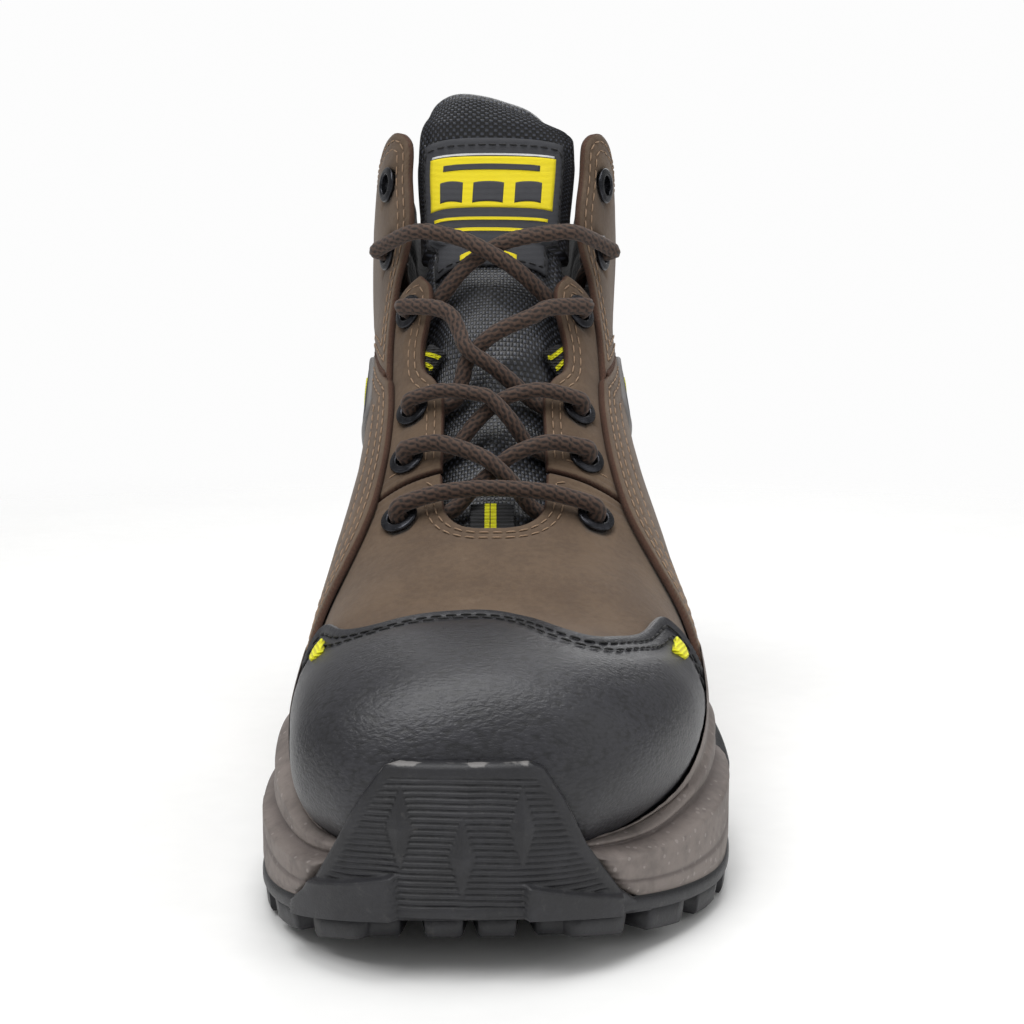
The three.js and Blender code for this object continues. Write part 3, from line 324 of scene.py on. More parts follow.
# ---------- leather panels ----------
def inside_polygon(points, polygon):
    """Which points lie inside a polygon, by the even-odd rule."""
    x, y = points[:, 0][:, None], points[:, 1][:, None]
    x0, y0 = polygon[:, 0][None], polygon[:, 1][None]
    x1, y1 = np.roll(polygon[:, 0], -1)[None], np.roll(polygon[:, 1], -1)[None]
    crosses = ((y0 > y) != (y1 > y)) & (x < (x1 - x0) * (y - y0) / (y1 - y0 + 1e-12) + x0)
    return crosses.sum(axis=1) % 2 == 1


def inset_points(outline, distance):
    """Outline points moved inwards over the surface by a distance in millimetres."""
    p = surface(outline[:, 0], outline[:, 1])
    n = outward(outline[:, 0], outline[:, 1])
    t = np.roll(p, -1, axis=0) - np.roll(p, 1, axis=0)
    t /= np.linalg.norm(t, axis=1, keepdims=True) + 1e-9
    inward = np.cross(n, t)
    js = (surface(outline[:, 0] + 0.02, outline[:, 1]) - p) / 0.02
    ja = surface(outline[:, 0], outline[:, 1] + 0.5) - surface(outline[:, 0], outline[:, 1] - 0.5)
    m = np.stack([js, ja], -1)
    step = np.einsum("nij,nj->ni", np.linalg.pinv(m), inward)
    moved = outline + step * distance
    if inside_polygon(outline + step * 0.5, outline).mean() < 0.5:
        moved = outline - step * distance
    far = gap_to(moved, outline)
    return moved[(far > 0.93 * distance) & inside_polygon(moved, outline)]


def gap_to(points, outline):
    """Distance in millimetres from surface points to the nearest outline point."""
    p, q = surface(points[:, 0], points[:, 1]), surface(outline[:, 0], outline[:, 1])
    result = np.empty(len(p))
    for k in range(0, len(p), 400):
        result[k:k + 400] = np.sqrt(((p[k:k + 400, None] - q[None])**2).sum(-1)).min(1)
    return result


def dense(outline, pitch=1.3):
    """A closed (section, angle) outline resampled to an even pitch on the surface."""
    outline = np.asarray(outline, float)
    closed = np.vstack([outline, outline[:1]])
    fine = np.concatenate([np.linspace(a, b, 9)[:-1] for a, b in zip(closed[:-1], closed[1:])])
    p = surface(fine[:, 0], fine[:, 1])
    step = np.linalg.norm(np.roll(p, -1, axis=0) - p, axis=1)
    total = np.concatenate([[0], np.cumsum(step)])
    ring = np.vstack([fine, fine[:1]])
    at = np.linspace(0, total[-1], max(int(total[-1] / pitch), 8) + 1)[:-1]
    return np.stack([np.interp(at, total, ring[:, 0]), np.interp(at, total, ring[:, 1])], -1)


SECTION_MM, DEGREE_MM = 13.0, 0.75  # rough size of one section and one degree on the surface


def panel(name, outline, top, bottom, material, edge_material=None, holes=(), edge=0.7,
          channels=(), relief=None, pitch=3.0, replaces=(), slot=None):
    """A sheet of leather cut to an outline on the surface, with a rounded edge and sewn channels."""
    rim = dense(outline)
    rings = [edge * 0.15, edge * 0.5, edge]
    for c in channels:
        rings += [c - 0.55, c, c + 0.55]
    loops = [rim]
    for s, a, radius in holes:
        turn = np.linspace(0, 2 * np.pi, 21)[:-1]
        p = surface(s, a)
        js = np.linalg.norm(surface(s + 0.02, a) - p) / 0.02
        ja = np.linalg.norm(surface(s, a + 0.5) - surface(s, a - 0.5))
        loops.append(np.stack([s + radius / js * np.cos(turn), a + radius / ja * np.sin(turn)], -1))
    inner = [inset_points(rim, r) for r in sorted(rings)]
    lo, hi = rim.min(0), rim.max(0)
    gs, ga = np.meshgrid(np.arange(lo[0], hi[0], pitch / SECTION_MM),
                         np.arange(lo[1], hi[1], pitch / DEGREE_MM), indexing="ij")
    ga = ga + (np.arange(gs.shape[0]) % 2)[:, None] * pitch / DEGREE_MM / 2
    field = np.stack([gs.ravel(), ga.ravel()], -1)
    field = field[inside_polygon(field, rim)]
    field = field[gap_to(field, rim) > max(rings) + 0.8]
    for hole in loops[1:]:
        field = field[gap_to(field, hole) > 0.8]
        field = field[~inside_polygon(field, hole)]
        inner = [r[~inside_polygon(r, hole)] for r in inner]
    edges, start = [], 0
    for loop in loops:
        n = len(loop)
        edges += [(start + k, start + (k + 1) % n) for k in range(n)]
        start += n
    flat = np.concatenate(loops + inner + [field])
    scaled = flat * [SECTION_MM, DEGREE_MM]
    found, _, triangles, _, _, _ = delaunay_2d_cdt([Vector(p) for p in scaled], edges, [], 1, 1e-4)
    flat = np.array([[v.x, v.y] for v in found]) / [SECTION_MM, DEGREE_MM]
    triangles = np.array([t[:3] for t in triangles])
    centre = flat[triangles].mean(1)
    keep = inside_polygon(centre, rim)
    for hole in loops[1:]:
        keep &= ~inside_polygon(centre, hole)
    triangles = triangles[keep]
    used = np.unique(triangles)
    remap = -np.ones(len(flat), int)
    remap[used] = np.arange(len(used))
    flat, triangles = flat[used], remap[triangles]
    distance = gap_to(flat, rim)
    border = set()
    for t in triangles:
        for k in range(3):
            e = (t[k], t[(k + 1) % 3])
            border ^= {e} if (e[1], e[0]) not in border else {(e[1], e[0])}
    on_rim = np.zeros(len(flat), bool)
    on_rim[[i for e in border for i in e]] = True
    distance[on_rim] = 0
    profile = -edge * (1 - np.sqrt(np.clip(1 - (1 - np.clip(distance / edge, 0, 1))**2, 0, 1)))
    for c in channels:
        profile -= 0.28 * np.exp(-((distance - c) / 0.45)**2)
    height = top + profile
    base = surface(flat[:, 0], flat[:, 1])
    if relief is not None:
        height = height + relief(base, flat, distance)
    normal = outward(flat[:, 0], flat[:, 1])
    upper = base + normal * height[:, None]
    lower = base + normal * np.full(len(flat), bottom)[:, None]
    n = len(flat)
    corner = upper[triangles]
    face_normal = np.cross(corner[:, 1] - corner[:, 0], corner[:, 2] - corner[:, 0])
    if (face_normal * normal[triangles[:, 0]]).sum() < 0:
        triangles = triangles[:, ::-1]
        border = {(b, a) for a, b in border}
    faces = triangles.tolist() + (triangles[:, ::-1] + n).tolist()
    walls = [(b, a, a + n, b + n) for a, b in border]
    near = (distance[triangles].max(1) < edge * 0.6).astype(int)
    slots = near.tolist() + [1] * len(triangles) + [1] * len(walls)
    return piece(name, np.concatenate([upper, lower]), faces + walls, MATERIALS[material], "boot",
                 replaces, slot, extra=[MATERIALS[edge_material or material]], face_slots=slots,
                 facts={"edge": np.concatenate([distance, np.zeros(n)])})


def seam(outline, distance, keep=None):
    """The (section, angle) paths of a row of stitches inside an outline, split where it is cut."""
    rim = dense(outline, 0.8)
    points = inset_points(rim, distance)
    if keep is not None:
        points = points[keep(points[:, 0], points[:, 1])]
    p = surface(points[:, 0], points[:, 1])
    jump = np.linalg.norm(np.diff(p, axis=0), axis=1) > 4
    return [part for part in np.split(points, np.where(jump)[0] + 1) if len(part) > 6]


def stitches(name, rows, material, heavier=1.0):
    """Thread over a list of (path, height) rows: one rounded stitch after another."""
    sizes = bpy.context.scene.boot_sizes
    pitch, width = sizes.stitch_pitch / MM, sizes.thread_width / MM * heavier
    length = 0.74 * pitch
    section = np.array([[-0.5, 0.0], [-0.42, 0.75], [-0.2, 1.0], [0.2, 1.0], [0.42, 0.75], [0.5, 0.0]])
    around = np.linspace(0, 2 * np.pi, 7)[:-1]
    points, faces = [], []
    for path, height in rows:
        line = skin(path[:, 0], path[:, 1], np.full(len(path), height))
        up = outward(path[:, 0], path[:, 1])
        both, _ = resample(np.hstack([line, up]), pitch)
        middle, normal = both[:-1, :3], both[:-1, 3:]
        way = np.diff(both[:, :3], axis=0)
        way /= np.linalg.norm(way, axis=1, keepdims=True) + 1e-9
        across = np.cross(way, normal)
        for k in range(len(middle)):
            start = len(points)
            for along_by, fat in section:
                centre = middle[k] + way[k] * (along_by * length + length / 2)
                centre = centre + normal[k] * (0.16 * fat - 0.1)
                r = width / 2 * max(fat, 0.35)
                points += [centre + across[k] * r * math.cos(q) + normal[k] * r * math.sin(q)
                           for q in around]
            faces += grid_faces(len(section), 6, ring=True, start=start)
            faces.append(tuple(start + j for j in reversed(range(6))))
            faces.append(tuple(start + 30 + j for j in range(6)))
    return piece(name, points, faces, MATERIALS[material])


# ---------- shader nodes ----------
def srgb(r, g, b):
    """A linear colour from 0 to 255 display values."""
    linear = [(c / 255 / 12.92) if c < 10.3 else ((c / 255 + 0.055) / 1.055) ** 2.4 for c in (r, g, b)]
    return (*linear, 1.0)


class Nodes:
    """Adds shader nodes to a tree and joins them."""

    def __init__(self, tree):
        self.tree = tree

    def __call__(self, kind, inputs=(), **settings):
        node = self.tree.nodes.new("ShaderNode" + kind)
        for key, value in settings.items():
            setattr(node, key, value)
        for key, value in dict(inputs).items():
            if isinstance(value, bpy.types.NodeSocket):
                self.tree.links.new(value, node.inputs[key])
            else:
                node.inputs[key].default_value = value
        return node

    def math(self, operation, a, b=0.0, clamp=False):
        return self("Math", {0: a, 1: b}, operation=operation, use_clamp=clamp).outputs[0]

    def ramp(self, value, low, high):
        """0 below low and 1 above high, smooth between."""
        return self("MapRange", {"Value": value, "From Min": low, "From Max": high},
                    interpolation_type="SMOOTHSTEP").outputs[0]

    def mix(self, factor, a, b):
        node = self("Mix", {0: factor}, data_type="RGBA")
        for socket, value in ((node.inputs[6], a), (node.inputs[7], b)):
            if isinstance(value, bpy.types.NodeSocket):
                self.tree.links.new(value, socket)
            else:
                socket.default_value = value
        return node.outputs[2]

    def noise(self, vector, per_mm, detail=3.0, roughness=0.55):
        return self("TexNoise", {"Vector": vector, "Scale": per_mm, "Detail": detail,
                                 "Roughness": roughness}).outputs[0]


def node_group(name, inputs, outputs):
    """A node group with named sockets. Returns the tree, its adder and the two end nodes."""
    tree = bpy.data.node_groups.new(name, "ShaderNodeTree")
    for label, kind, value in inputs:
        socket = tree.interface.new_socket(name=label, in_out="INPUT", socket_type="NodeSocket" + kind)
        if value is not None:
            socket.default_value = value
    for label, kind in outputs:
        tree.interface.new_socket(name=label, in_out="OUTPUT", socket_type="NodeSocket" + kind)
    return tree, Nodes(tree), tree.nodes.new("NodeGroupInput"), tree.nodes.new("NodeGroupOutput")


GROUPS = {}


def make_groups():
    """Node groups that several materials share. Their vectors are in millimetres."""
    tree, n, start, end = node_group(
        "Blotch", [("Vector", "Vector", None), ("Size", "Float", 9.0), ("Light", "Color", None),
                   ("Dark", "Color", None)], [("Color", "Color")])
    scale = n.math("DIVIDE", 1.0, start.outputs["Size"])
    big = n.noise(start.outputs["Vector"], scale)
    fine = n.noise(start.outputs["Vector"], n.math("MULTIPLY", scale, 9.0), 2.0)
    both = n.math("ADD", n.math("MULTIPLY", big, 0.65), n.math("MULTIPLY", fine, 0.35))
    tree.links.new(n.mix(n.ramp(both, 0.36, 0.64), start.outputs["Dark"], start.outputs["Light"]),
                   end.inputs["Color"])
    GROUPS["blotch"] = tree

    tree, n, start, end = node_group(
        "Pebble", [("Vector", "Vector", None), ("Size", "Float", 1.5), ("Stretch", "Float", 1.0)],
        [("Height", "Float"), ("Crease", "Float")])
    part = n("SeparateXYZ", {0: start.outputs["Vector"]})
    wide = n.math("DIVIDE", part.outputs[0], start.outputs["Stretch"])
    vector = n("CombineXYZ", {0: wide, 1: part.outputs[1], 2: part.outputs[2]}).outputs[0]
    warp = n("TexNoise", {"Vector": vector, "Scale": 0.35, "Detail": 2.0}).outputs[1]
    bent = n("VectorMath", {0: vector, 1: warp}, operation="ADD")
    scale = n.math("DIVIDE", 1.0, start.outputs["Size"])
    cells = n("TexVoronoi", {"Vector": bent.outputs[0], "Scale": scale}, feature="SMOOTH_F1")
    fine = n.noise(bent.outputs[0], n.math("MULTIPLY", scale, 2.2), 3.0)
    height = n.math("SUBTRACT", n.math("MULTIPLY", fine, 0.7), n.math("MULTIPLY", cells.outputs[0], 0.9))
    tree.links.new(height, end.inputs["Height"])
    # Crease Shade is high in the valleys between the pebbles, where the toe leather paints shade
    tree.links.new(n.ramp(cells.outputs[0], 0.35, 0.75), end.inputs["Crease"])
    GROUPS["pebble"] = tree

    tree, n, start, end = node_group(
        "Basket", [("Vector", "Vector", None), ("Pitch", "Float", 2.0)],
        [("Height", "Float"), ("Over", "Float")])
    scale = n.math("DIVIDE", 1.0, start.outputs["Pitch"])
    part = n("SeparateXYZ", {0: start.outputs["Vector"]})
    u = n.math("MULTIPLY", part.outputs[0], scale)
    v = n.math("MULTIPLY", part.outputs[1], scale)
    row = n.math("FLOOR", v)
    column = n.math("FLOOR", u)
    parity = n.math("MODULO", n.math("ABSOLUTE", n.math("ADD", row, column)), 2.0)
    swell_u = n.math("SINE", n.math("MULTIPLY", n.math("FRACT", u), math.pi))
    swell_v = n.math("SINE", n.math("MULTIPLY", n.math("FRACT", v), math.pi))
    along_u = n.math("MULTIPLY", n.math("POWER", swell_u, 0.4), n.math("POWER", swell_v, 0.7))
    along_v = n.math("MULTIPLY", n.math("MULTIPLY", n.math("POWER", swell_v, 0.4), swell_u), 0.45)
    height = n("Mix", {0: parity, 2: along_u, 3: along_v}, data_type="FLOAT").outputs[0]
    tree.links.new(height, end.inputs["Height"])
    tree.links.new(parity, end.inputs["Over"])
    GROUPS["basket"] = tree

    tree, n, start, end = node_group(
        "Specks", [("Vector", "Vector", None), ("Size", "Float", 1.4), ("Share", "Float", 0.2)],
        [("Mask", "Float")])
    cells = n("TexVoronoi", {"Vector": start.outputs["Vector"],
                             "Scale": n.math("DIVIDE", 1.0, start.outputs["Size"])})
    chosen = n("SeparateColor", {0: cells.outputs["Color"]}).outputs[0]
    small = n.math("LESS_THAN", cells.outputs["Distance"], 0.3)
    rare = n.math("LESS_THAN", chosen, start.outputs["Share"])
    tree.links.new(n.math("MULTIPLY", small, rare), end.inputs["Mask"])
    GROUPS["specks"] = tree

    tree, n, start, end = node_group("Rim", [("Width", "Float", 1.0)], [("Mask", "Float")])
    edge = n("Attribute", attribute_name="edge").outputs["Fac"]
    noisy = n.noise(n("TexCoord").outputs["Object"], 900.0)
    reach = n.math("MULTIPLY", start.outputs["Width"], n.math("ADD", noisy, 0.5))
    tree.links.new(n.math("SUBTRACT", 1.0, n.ramp(n.math("DIVIDE", edge, reach), 0.5, 1.1)),
                   end.inputs["Mask"])
    GROUPS["rim"] = tree


MATERIALS = {}


class Finish:
    """A material being made: its nodes, millimetre coordinates and shader."""

    def __init__(self, name, roughness=0.6, **constants):
        self.material = bpy.data.materials.new(name)
        self.material.use_nodes = True
        tree = self.material.node_tree
        tree.nodes.clear()
        self.n = Nodes(tree)
        out = tree.nodes.new("ShaderNodeOutputMaterial")
        self.shader = self.n("BsdfPrincipled", {"Roughness": roughness})
        for key, value in constants.items():
            self.shader.inputs[key.replace("_", " ")].default_value = value
        tree.links.new(self.shader.outputs[0], out.inputs[0])
        coords = self.n("TexCoord").outputs["Object"]
        self.at = self.n("VectorMath", {0: coords, 1: (1000,) * 3}, operation="MULTIPLY").outputs[0]
        MATERIALS[name] = self.material

    def group(self, key, **inputs):
        node = self.n("Group", node_tree=GROUPS[key])
        for label, value in inputs.items():
            if isinstance(value, bpy.types.NodeSocket):
                self.n.tree.links.new(value, node.inputs[label])
            else:
                node.inputs[label].default_value = value
        return node

    def colour(self, value):
        self.n.tree.links.new(value, self.shader.inputs["Base Color"])

    def blotch(self, light, dark, size=9.0):
        return self.group("blotch", Vector=self.at, Size=size, Light=srgb(*light),
                          Dark=srgb(*dark)).outputs[0]

    def rough(self, low, high, mask=None, size=0.4):
        mask = mask or self.n.noise(self.at, size)
        self.n.tree.links.new(
            self.n("MapRange", {"Value": mask, "To Min": low, "To Max": high}).outputs[0],
            self.shader.inputs["Roughness"])

    def bump(self, height, depth, strength=1.0, under=None):
        inputs = {"Height": height, "Distance": depth * MM, "Strength": strength}
        if under is not None:
            inputs["Normal"] = under
        normal = self.n("Bump", inputs).outputs[0]
        self.normal = normal
        return normal

    def done(self):
        self.n.tree.links.new(self.normal, self.shader.inputs["Normal"])
        return self.material


def picked(name):
    """A colour from the sidebar, in 0 to 255 display values."""
    return tuple(255 * c for c in getattr(bpy.context.scene.boot_colours, name))


def leather_finish(name, light, dark, raw, nap, **constants):
    """Nubuck: a napped brown surface with a raw reddish cut edge and dusty high spots."""
    f = Finish(name, **constants)
    n = f.n
    colour = f.blotch(light, dark, 14.0)
    scuff = n.ramp(n.noise(f.at, 0.09, 5.0, 0.7), 0.6, 0.74)
    lifted = n.mix(n.math("MULTIPLY", scuff, 0.35), colour, srgb(*[min(c + 26, 255) for c in light]))
    grain = n.noise(f.at, 3.2, 2.0)
    speck = n.mix(n.math("MULTIPLY", n.ramp(grain, 0.5, 0.72), 0.28), lifted, srgb(*raw))
    rim = f.group("rim", Width=0.55).outputs[0]
    f.colour(n.mix(n.math("MULTIPLY", rim, 0.55), speck, srgb(*raw)))
    f.rough(0.74, 0.92)
    under = f.bump(n.noise(f.at, 0.55, 4.0), 0.22, 0.6)
    f.bump(n.noise(f.at, 3.5, 3.0, 0.7), nap, 0.75, under)
    return f.done()


def make_materials():
    leather_finish("nubuck", picked("leather_light"), picked("leather_dark"), (60, 39, 29), 0.12,
                   Sheen_Weight=0.12, Sheen_Roughness=0.5)
    f = Finish("raw_edge")
    n = f.n
    f.colour(n.mix(n.noise(f.at, 1.9, 3.0), srgb(52, 34, 27), srgb(98, 68, 52)))
    f.rough(0.85, 1.0)
    f.bump(n.noise(f.at, 2.6, 4.0, 0.75), 0.35)
    f.done()

    f = Finish("toe_leather", Coat_Weight=0.05, Coat_Roughness=0.4)
    n = f.n
    pebble = f.group("pebble", Vector=f.at, Size=0.7, Stretch=2.2)
    smooth = f.blotch(picked("toe_leather"), (36, 36, 40), 14.0)
    # Painted shade: the toe leather is darkened in the pebble grain's creases
    base = n.mix(pebble.outputs["Crease"], smooth, srgb(25, 25, 28))
    rim = f.group("rim", Width=1.2).outputs[0]
    f.colour(n.mix(n.math("MULTIPLY", rim, 0.4), base, srgb(70, 69, 70)))
    f.rough(0.36, 0.46)
    under = f.bump(n.noise(f.at, 0.12, 3.0), 0.2, 0.25)
    f.bump(pebble.outputs["Height"], 0.2, 0.7, under)
    f.done()

    for name, light, dark, rough in (("rubber", picked("rubber"), (28, 28, 31), (0.42, 0.6)),
                                     ("support", (52, 52, 54), (38, 38, 40), (0.3, 0.5))):
        f = Finish(name)
        n = f.n
        dust = n.ramp(n.noise(f.at, 0.35, 5.0, 0.7), 0.58, 0.75)
        base = n.mix(n.math("MULTIPLY", dust, 0.4), f.blotch(light, dark, 8.0), srgb(78, 76, 74))
        rim = f.group("rim", Width=1.6).outputs[0]
        f.colour(n.mix(n.math("MULTIPLY", rim, 0.55), base, srgb(150, 147, 145)))
        f.rough(*rough)
        f.bump(n.noise(f.at, 2.2, 4.0, 0.65), 0.09)
        f.done()

    f = Finish("foam")
    n = f.n
    base = f.blotch(picked("midsole"), (104, 96, 92), 22.0)
    pale = f.group("specks", Vector=f.at, Size=1.6, Share=0.16).outputs[0]
    shifted = n("VectorMath", {0: f.at, 1: (0.7, 0.4, 0.9)}, operation="ADD").outputs[0]
    deep = f.group("specks", Vector=shifted, Size=1.9, Share=0.13).outputs[0]
    base = n.mix(n.math("MULTIPLY", pale, 0.3), base, srgb(176, 168, 165))
    base = n.mix(n.math("MULTIPLY", deep, 0.35), base, srgb(92, 83, 81))
    # Painted shade: the foam is darkened along the midsole's fold creases, read from the 'edge' attribute
    fold = n("Attribute", attribute_name="edge").outputs["Fac"]
    f.colour(n.mix(n.math("MULTIPLY", n.math("SUBTRACT", 1.0, n.ramp(fold, 0.0, 1.0)), 0.5), base,
                   srgb(84, 75, 73)))
    f.rough(0.6, 0.8)
    f.bump(n.noise(f.at, 1.7, 4.0, 0.6), 0.1)
    f.done()

    for name, pitch, light, dark, rough in (
            ("ballistic", 0.9, (68, 72, 84), (9, 9, 11), (0.32, 0.5)),
            ("lining", 1.3, (50, 50, 52), (20, 20, 22), (0.8, 0.95)),
            ("footbed", 1.1, (66, 66, 68), (34, 34, 36), (0.75, 0.95))):
        f = Finish(name, Sheen_Weight=0.06)
        n = f.n
        uv = n("UVMap", uv_map="cloth").outputs[0]
        at = n("VectorMath", {0: uv, 1: (1000,) * 3}, operation="MULTIPLY").outputs[0]
        weave = f.group("basket", Vector=at, Pitch=pitch)
        # Painted shade and highlight: the weave's low parts take the dark colour and its raised yarns the
        # light one
        tone = n.mix(n.ramp(weave.outputs["Height"], 0.3, 0.95), srgb(*dark), srgb(*light))
        f.colour(n.mix(n.math("MULTIPLY", n.noise(f.at, 0.12, 3.0), 0.4), tone, srgb(*dark)))
        f.rough(*rough)
        under = f.bump(n.noise(f.at, 0.3, 3.0), 0.3, 0.5)
        f.bump(weave.outputs["Height"], 0.35 * pitch / 2, 0.9, under)
        f.done()

    for name, light, dark, rib in (("webbing", (52, 52, 55), (18, 18, 20), 1.1),
                                   ("accent", picked("accent"), (206, 196, 6), 1.1),
                                   ("label_cloth", (64, 65, 70), (44, 45, 50), 0.5),
                                   ("label_yellow", (250, 233, 8), (232, 208, 0), 0.5),
                                   ("label_white", (238, 238, 236), (206, 206, 204), 0.5),
                                   ("thread", (172, 146, 118), (128, 100, 78), 0.35),
                                   ("thread_black", (30, 30, 32), (12, 12, 13), 0.35)):
        f = Finish(name, Sheen_Weight=0.08)
        n = f.n
        wave = n("TexWave", {"Vector": f.at, "Scale": 0.45 / rib, "Distortion": 1.2, "Detail": 2.0,
                             "Detail Scale": 2.0}, bands_direction="Z").outputs[1]
        # Painted shade and highlight: the rib grooves take the dark colour and the rib tops the light one, on
        # the same waves as the bump
        tone = n.mix(wave, srgb(*dark), srgb(*light))
        f.colour(n.mix(n.math("MULTIPLY", n.noise(f.at, 0.9, 3.0), 0.35), tone, srgb(*dark)))
        f.rough(0.62, 0.85)
        f.bump(wave, 0.22 * rib, 0.8)
        f.done()

    f = Finish("lace", Sheen_Weight=0.1)
    n = f.n
    braid = n("Attribute", attribute_name="braid").outputs["Fac"]
    # Painted shade: the lace darkens into the gaps between the braid's strands
    tone = n.mix(n.ramp(braid, 0.35, 0.98), srgb(22, 15, 12), srgb(*picked("lace")))
    f.colour(n.mix(n.math("MULTIPLY", n.noise(f.at, 0.5, 3.0), 0.3), tone, srgb(48, 35, 29)))
    f.rough(0.7, 0.9)
    f.bump(n.noise(f.at, 3.4, 3.0), 0.12)
    f.done()

    for name, light, dark, rough in (("eyelet", (54, 55, 60), (26, 27, 31), (0.16, 0.34)),
                                     ("steel", (150, 152, 156), (112, 114, 118), (0.24, 0.42))):
        f = Finish(name, Metallic=0.9 if name == "steel" else 0.75)
        n = f.n
        scratch = n.noise(n("Mapping", {0: f.at, 3: (0.2, 0.2, 3.0)}).outputs[0], 1.4, 4.0, 0.7)
        worn = n.math("MULTIPLY", n.ramp(scratch, 0.6, 0.8), 0.4)
        f.colour(n.mix(worn, f.blotch(light, dark, 3.0), srgb(146, 146, 148)))
        f.rough(*rough, mask=scratch)
        f.bump(scratch, 0.05)
        f.done()

    for name, light, dark, size in (("board", (176, 146, 108), (138, 108, 78), 5.0),
                                    ("counter", (96, 92, 88), (70, 66, 63), 4.0),
                                    ("aglet", (58, 52, 48), (34, 29, 27), 3.0)):
        f = Finish(name)
        n = f.n
        fibre = n.noise(n("Mapping", {0: f.at, 3: (2.6, 0.4, 2.6)}).outputs[0], 0.9, 5.0, 0.7)
        f.colour(n.mix(n.math("MULTIPLY", fibre, 0.5), f.blotch(light, dark, size), srgb(*dark)))
        f.rough(0.45, 0.85, mask=fibre)
        f.bump(fibre, 0.2)
        f.done()

    f = Finish("floor")
    f.colour(f.blotch((243, 243, 242), (240, 240, 239), 90.0))
    f.rough(0.85, 0.95)
    f.bump(f.n.noise(f.at, 0.4, 3.0), 0.03)
    reach = f.n("VectorMath", {0: f.at}, operation="LENGTH").outputs["Value"]
    fade = f.n.math("SUBTRACT", 1.0, f.n.ramp(reach, 420.0, 900.0))
    f.n.tree.links.new(fade, f.shader.inputs["Alpha"])
    f.done()


# ---------- edges and seams of the upper ----------
WALL_TOP = curve_of([(-152, 29), (-132, 29), (-112, 37), (-95, 44), (-72, 50), (-30, 48), (20, 45),
                     (60, 46), (105, 52), (152, 56)])
THROAT = curve_of([(6.88, 4), (6.95, 9), (7.1, 13), (7.35, 16), (7.8, 17.5), (8.4, 18.5),
                   (9.2, 19), (9.7, 21)])
QUARTER_FRONT = curve_of([(5.8, 112), (5.95, 92), (6.15, 78), (6.5, 66), (7.0, 54), (7.7, 45),
                          (8.6, 41.5), (9.6, 41.5), (10.6, 44), (11.4, 46)])
EYESTAY_INNER = curve_of([(8.1, 18), (8.7, 18.6), (9.5, 20), (9.85, 24), (10.1, 29), (10.5, 30),
                          (10.8, 28.5), (11.2, 27), (11.6, 28), (11.9, 32)])
CAP_EDGE = curve_of([(-150, 5.3), (-100, 5.4), (-80, 5.65), (-66, 5.85), (-56, 5.75), (-46, 5.25),
                     (-35, 4.95), (-23, 4.95), (-12, 4.95), (2, 4.9), (12, 4.62), (22, 4.2),
                     (32, 4.18), (41, 4.85), (49, 5.62), (58, 5.7), (66, 5.62), (80, 5.5),
                     (100, 5.4), (150, 5.3)])
COLLAR_SEAM = curve_of([(40, 10.1), (50, 10.8), (62, 12.2), (80, 13.6), (110, 14.9), (145, 15.6),
                        (180, 15.8)])
TAB_EDGE = curve_of([(10.0, 44), (11.2, 44), (12.2, 41), (12.8, 37), (13.6, 35), (15, 36),
                     (16.4, 37), (17, 41), (17.3, 46)])
TOP_LINE = curve_of([(30, 17.25), (50, 17.25), (62, 17.0), (90, 16.7), (140, 16.9), (180, 17.2)])
LINING_MOUTH = curve_of([(6.1, 42), (7.5, 43), (9.5, 45), (11.5, 50), (13.5, 60)])
TONGUE_EDGE = curve_of([(6.15, 36), (8, 37), (10, 39), (12, 43), (13.6, 46), (16, 44), (18, 38)])
EYELETS = [(7.38, 32), (8.5, 32), (9.4, 32), (11.25, 36.5), (13.35, 46), (15.35, 46)]
TAB_ROWS = (4, 5)


def sole_angle(s):
    """The angle where the upper goes down 10 mm inside the midsole's wall."""
    a = np.linspace(40, 180, 281)
    result = []
    for one in np.atleast_1d(s):
        p = surface(np.full(len(a), one), a)
        under = np.where(p[:, 2] < WALL_TOP(p[:, 1]) - 10)[0]
        result.append(a[under[0]] if len(under) else 179.6)
    return np.array(result)


def path_of(s, a):
    s, a = np.broadcast_arrays(np.asarray(s, float), np.asarray(a, float))
    return np.stack([s, a], -1)


def mirror(outline, name):
    """The same outline on the medial side."""
    return outline * [1, side(name)]


def vamp_outline():
    s = np.linspace(1.0, 8.05, 60)
    edge = sole_angle(s)
    throat = np.concatenate([np.linspace(8.05, 7.1, 16), [7.0, 6.94, 6.89]])
    return np.concatenate([
        path_of(s, edge), path_of(throat, THROAT(throat)),
        path_of(throat[::-1], -THROAT(throat[::-1])), path_of(s[::-1], -edge[::-1]),
        path_of(1.0, np.linspace(-edge[0], edge[0], 24)[1:-1])])


def cover_outline():
    a = np.linspace(-112, 112, 90)
    back = path_of(CAP_EDGE(a), a)
    s = np.linspace(0.7, 5.25, 30)
    low = sole_angle(s)
    return np.concatenate([
        back, path_of(s[::-1], np.maximum(low[::-1], 108)),
        path_of(0.7, np.linspace(low[0], -low[0], 30)[1:-1]), path_of(s, -np.maximum(low, 108))])


def eyestay_outline(name):
    s = np.linspace(8.11, 11.95, 50)
    return mirror(np.concatenate([
        path_of(s, EYESTAY_INNER(s)), path_of(11.95, np.linspace(34, 58, 12)),
        path_of(np.linspace(11.9, 8.11, 24), 58), path_of(8.11, np.linspace(57, 19, 20))]), name)


def quarter_outline(name):
    s = np.linspace(5.8, 10.2, 60)
    a = np.linspace(43.5, 179.6, 70)
    low = np.linspace(13.2, 5.82, 60)
    return mirror(np.concatenate([
        path_of(s, QUARTER_FRONT(s)), path_of(COLLAR_SEAM(a) - 0.04, a),
        path_of(np.linspace(15.6, 13.3, 14), 179.6), path_of(low, np.maximum(sole_angle(low), 100))]),
        name)


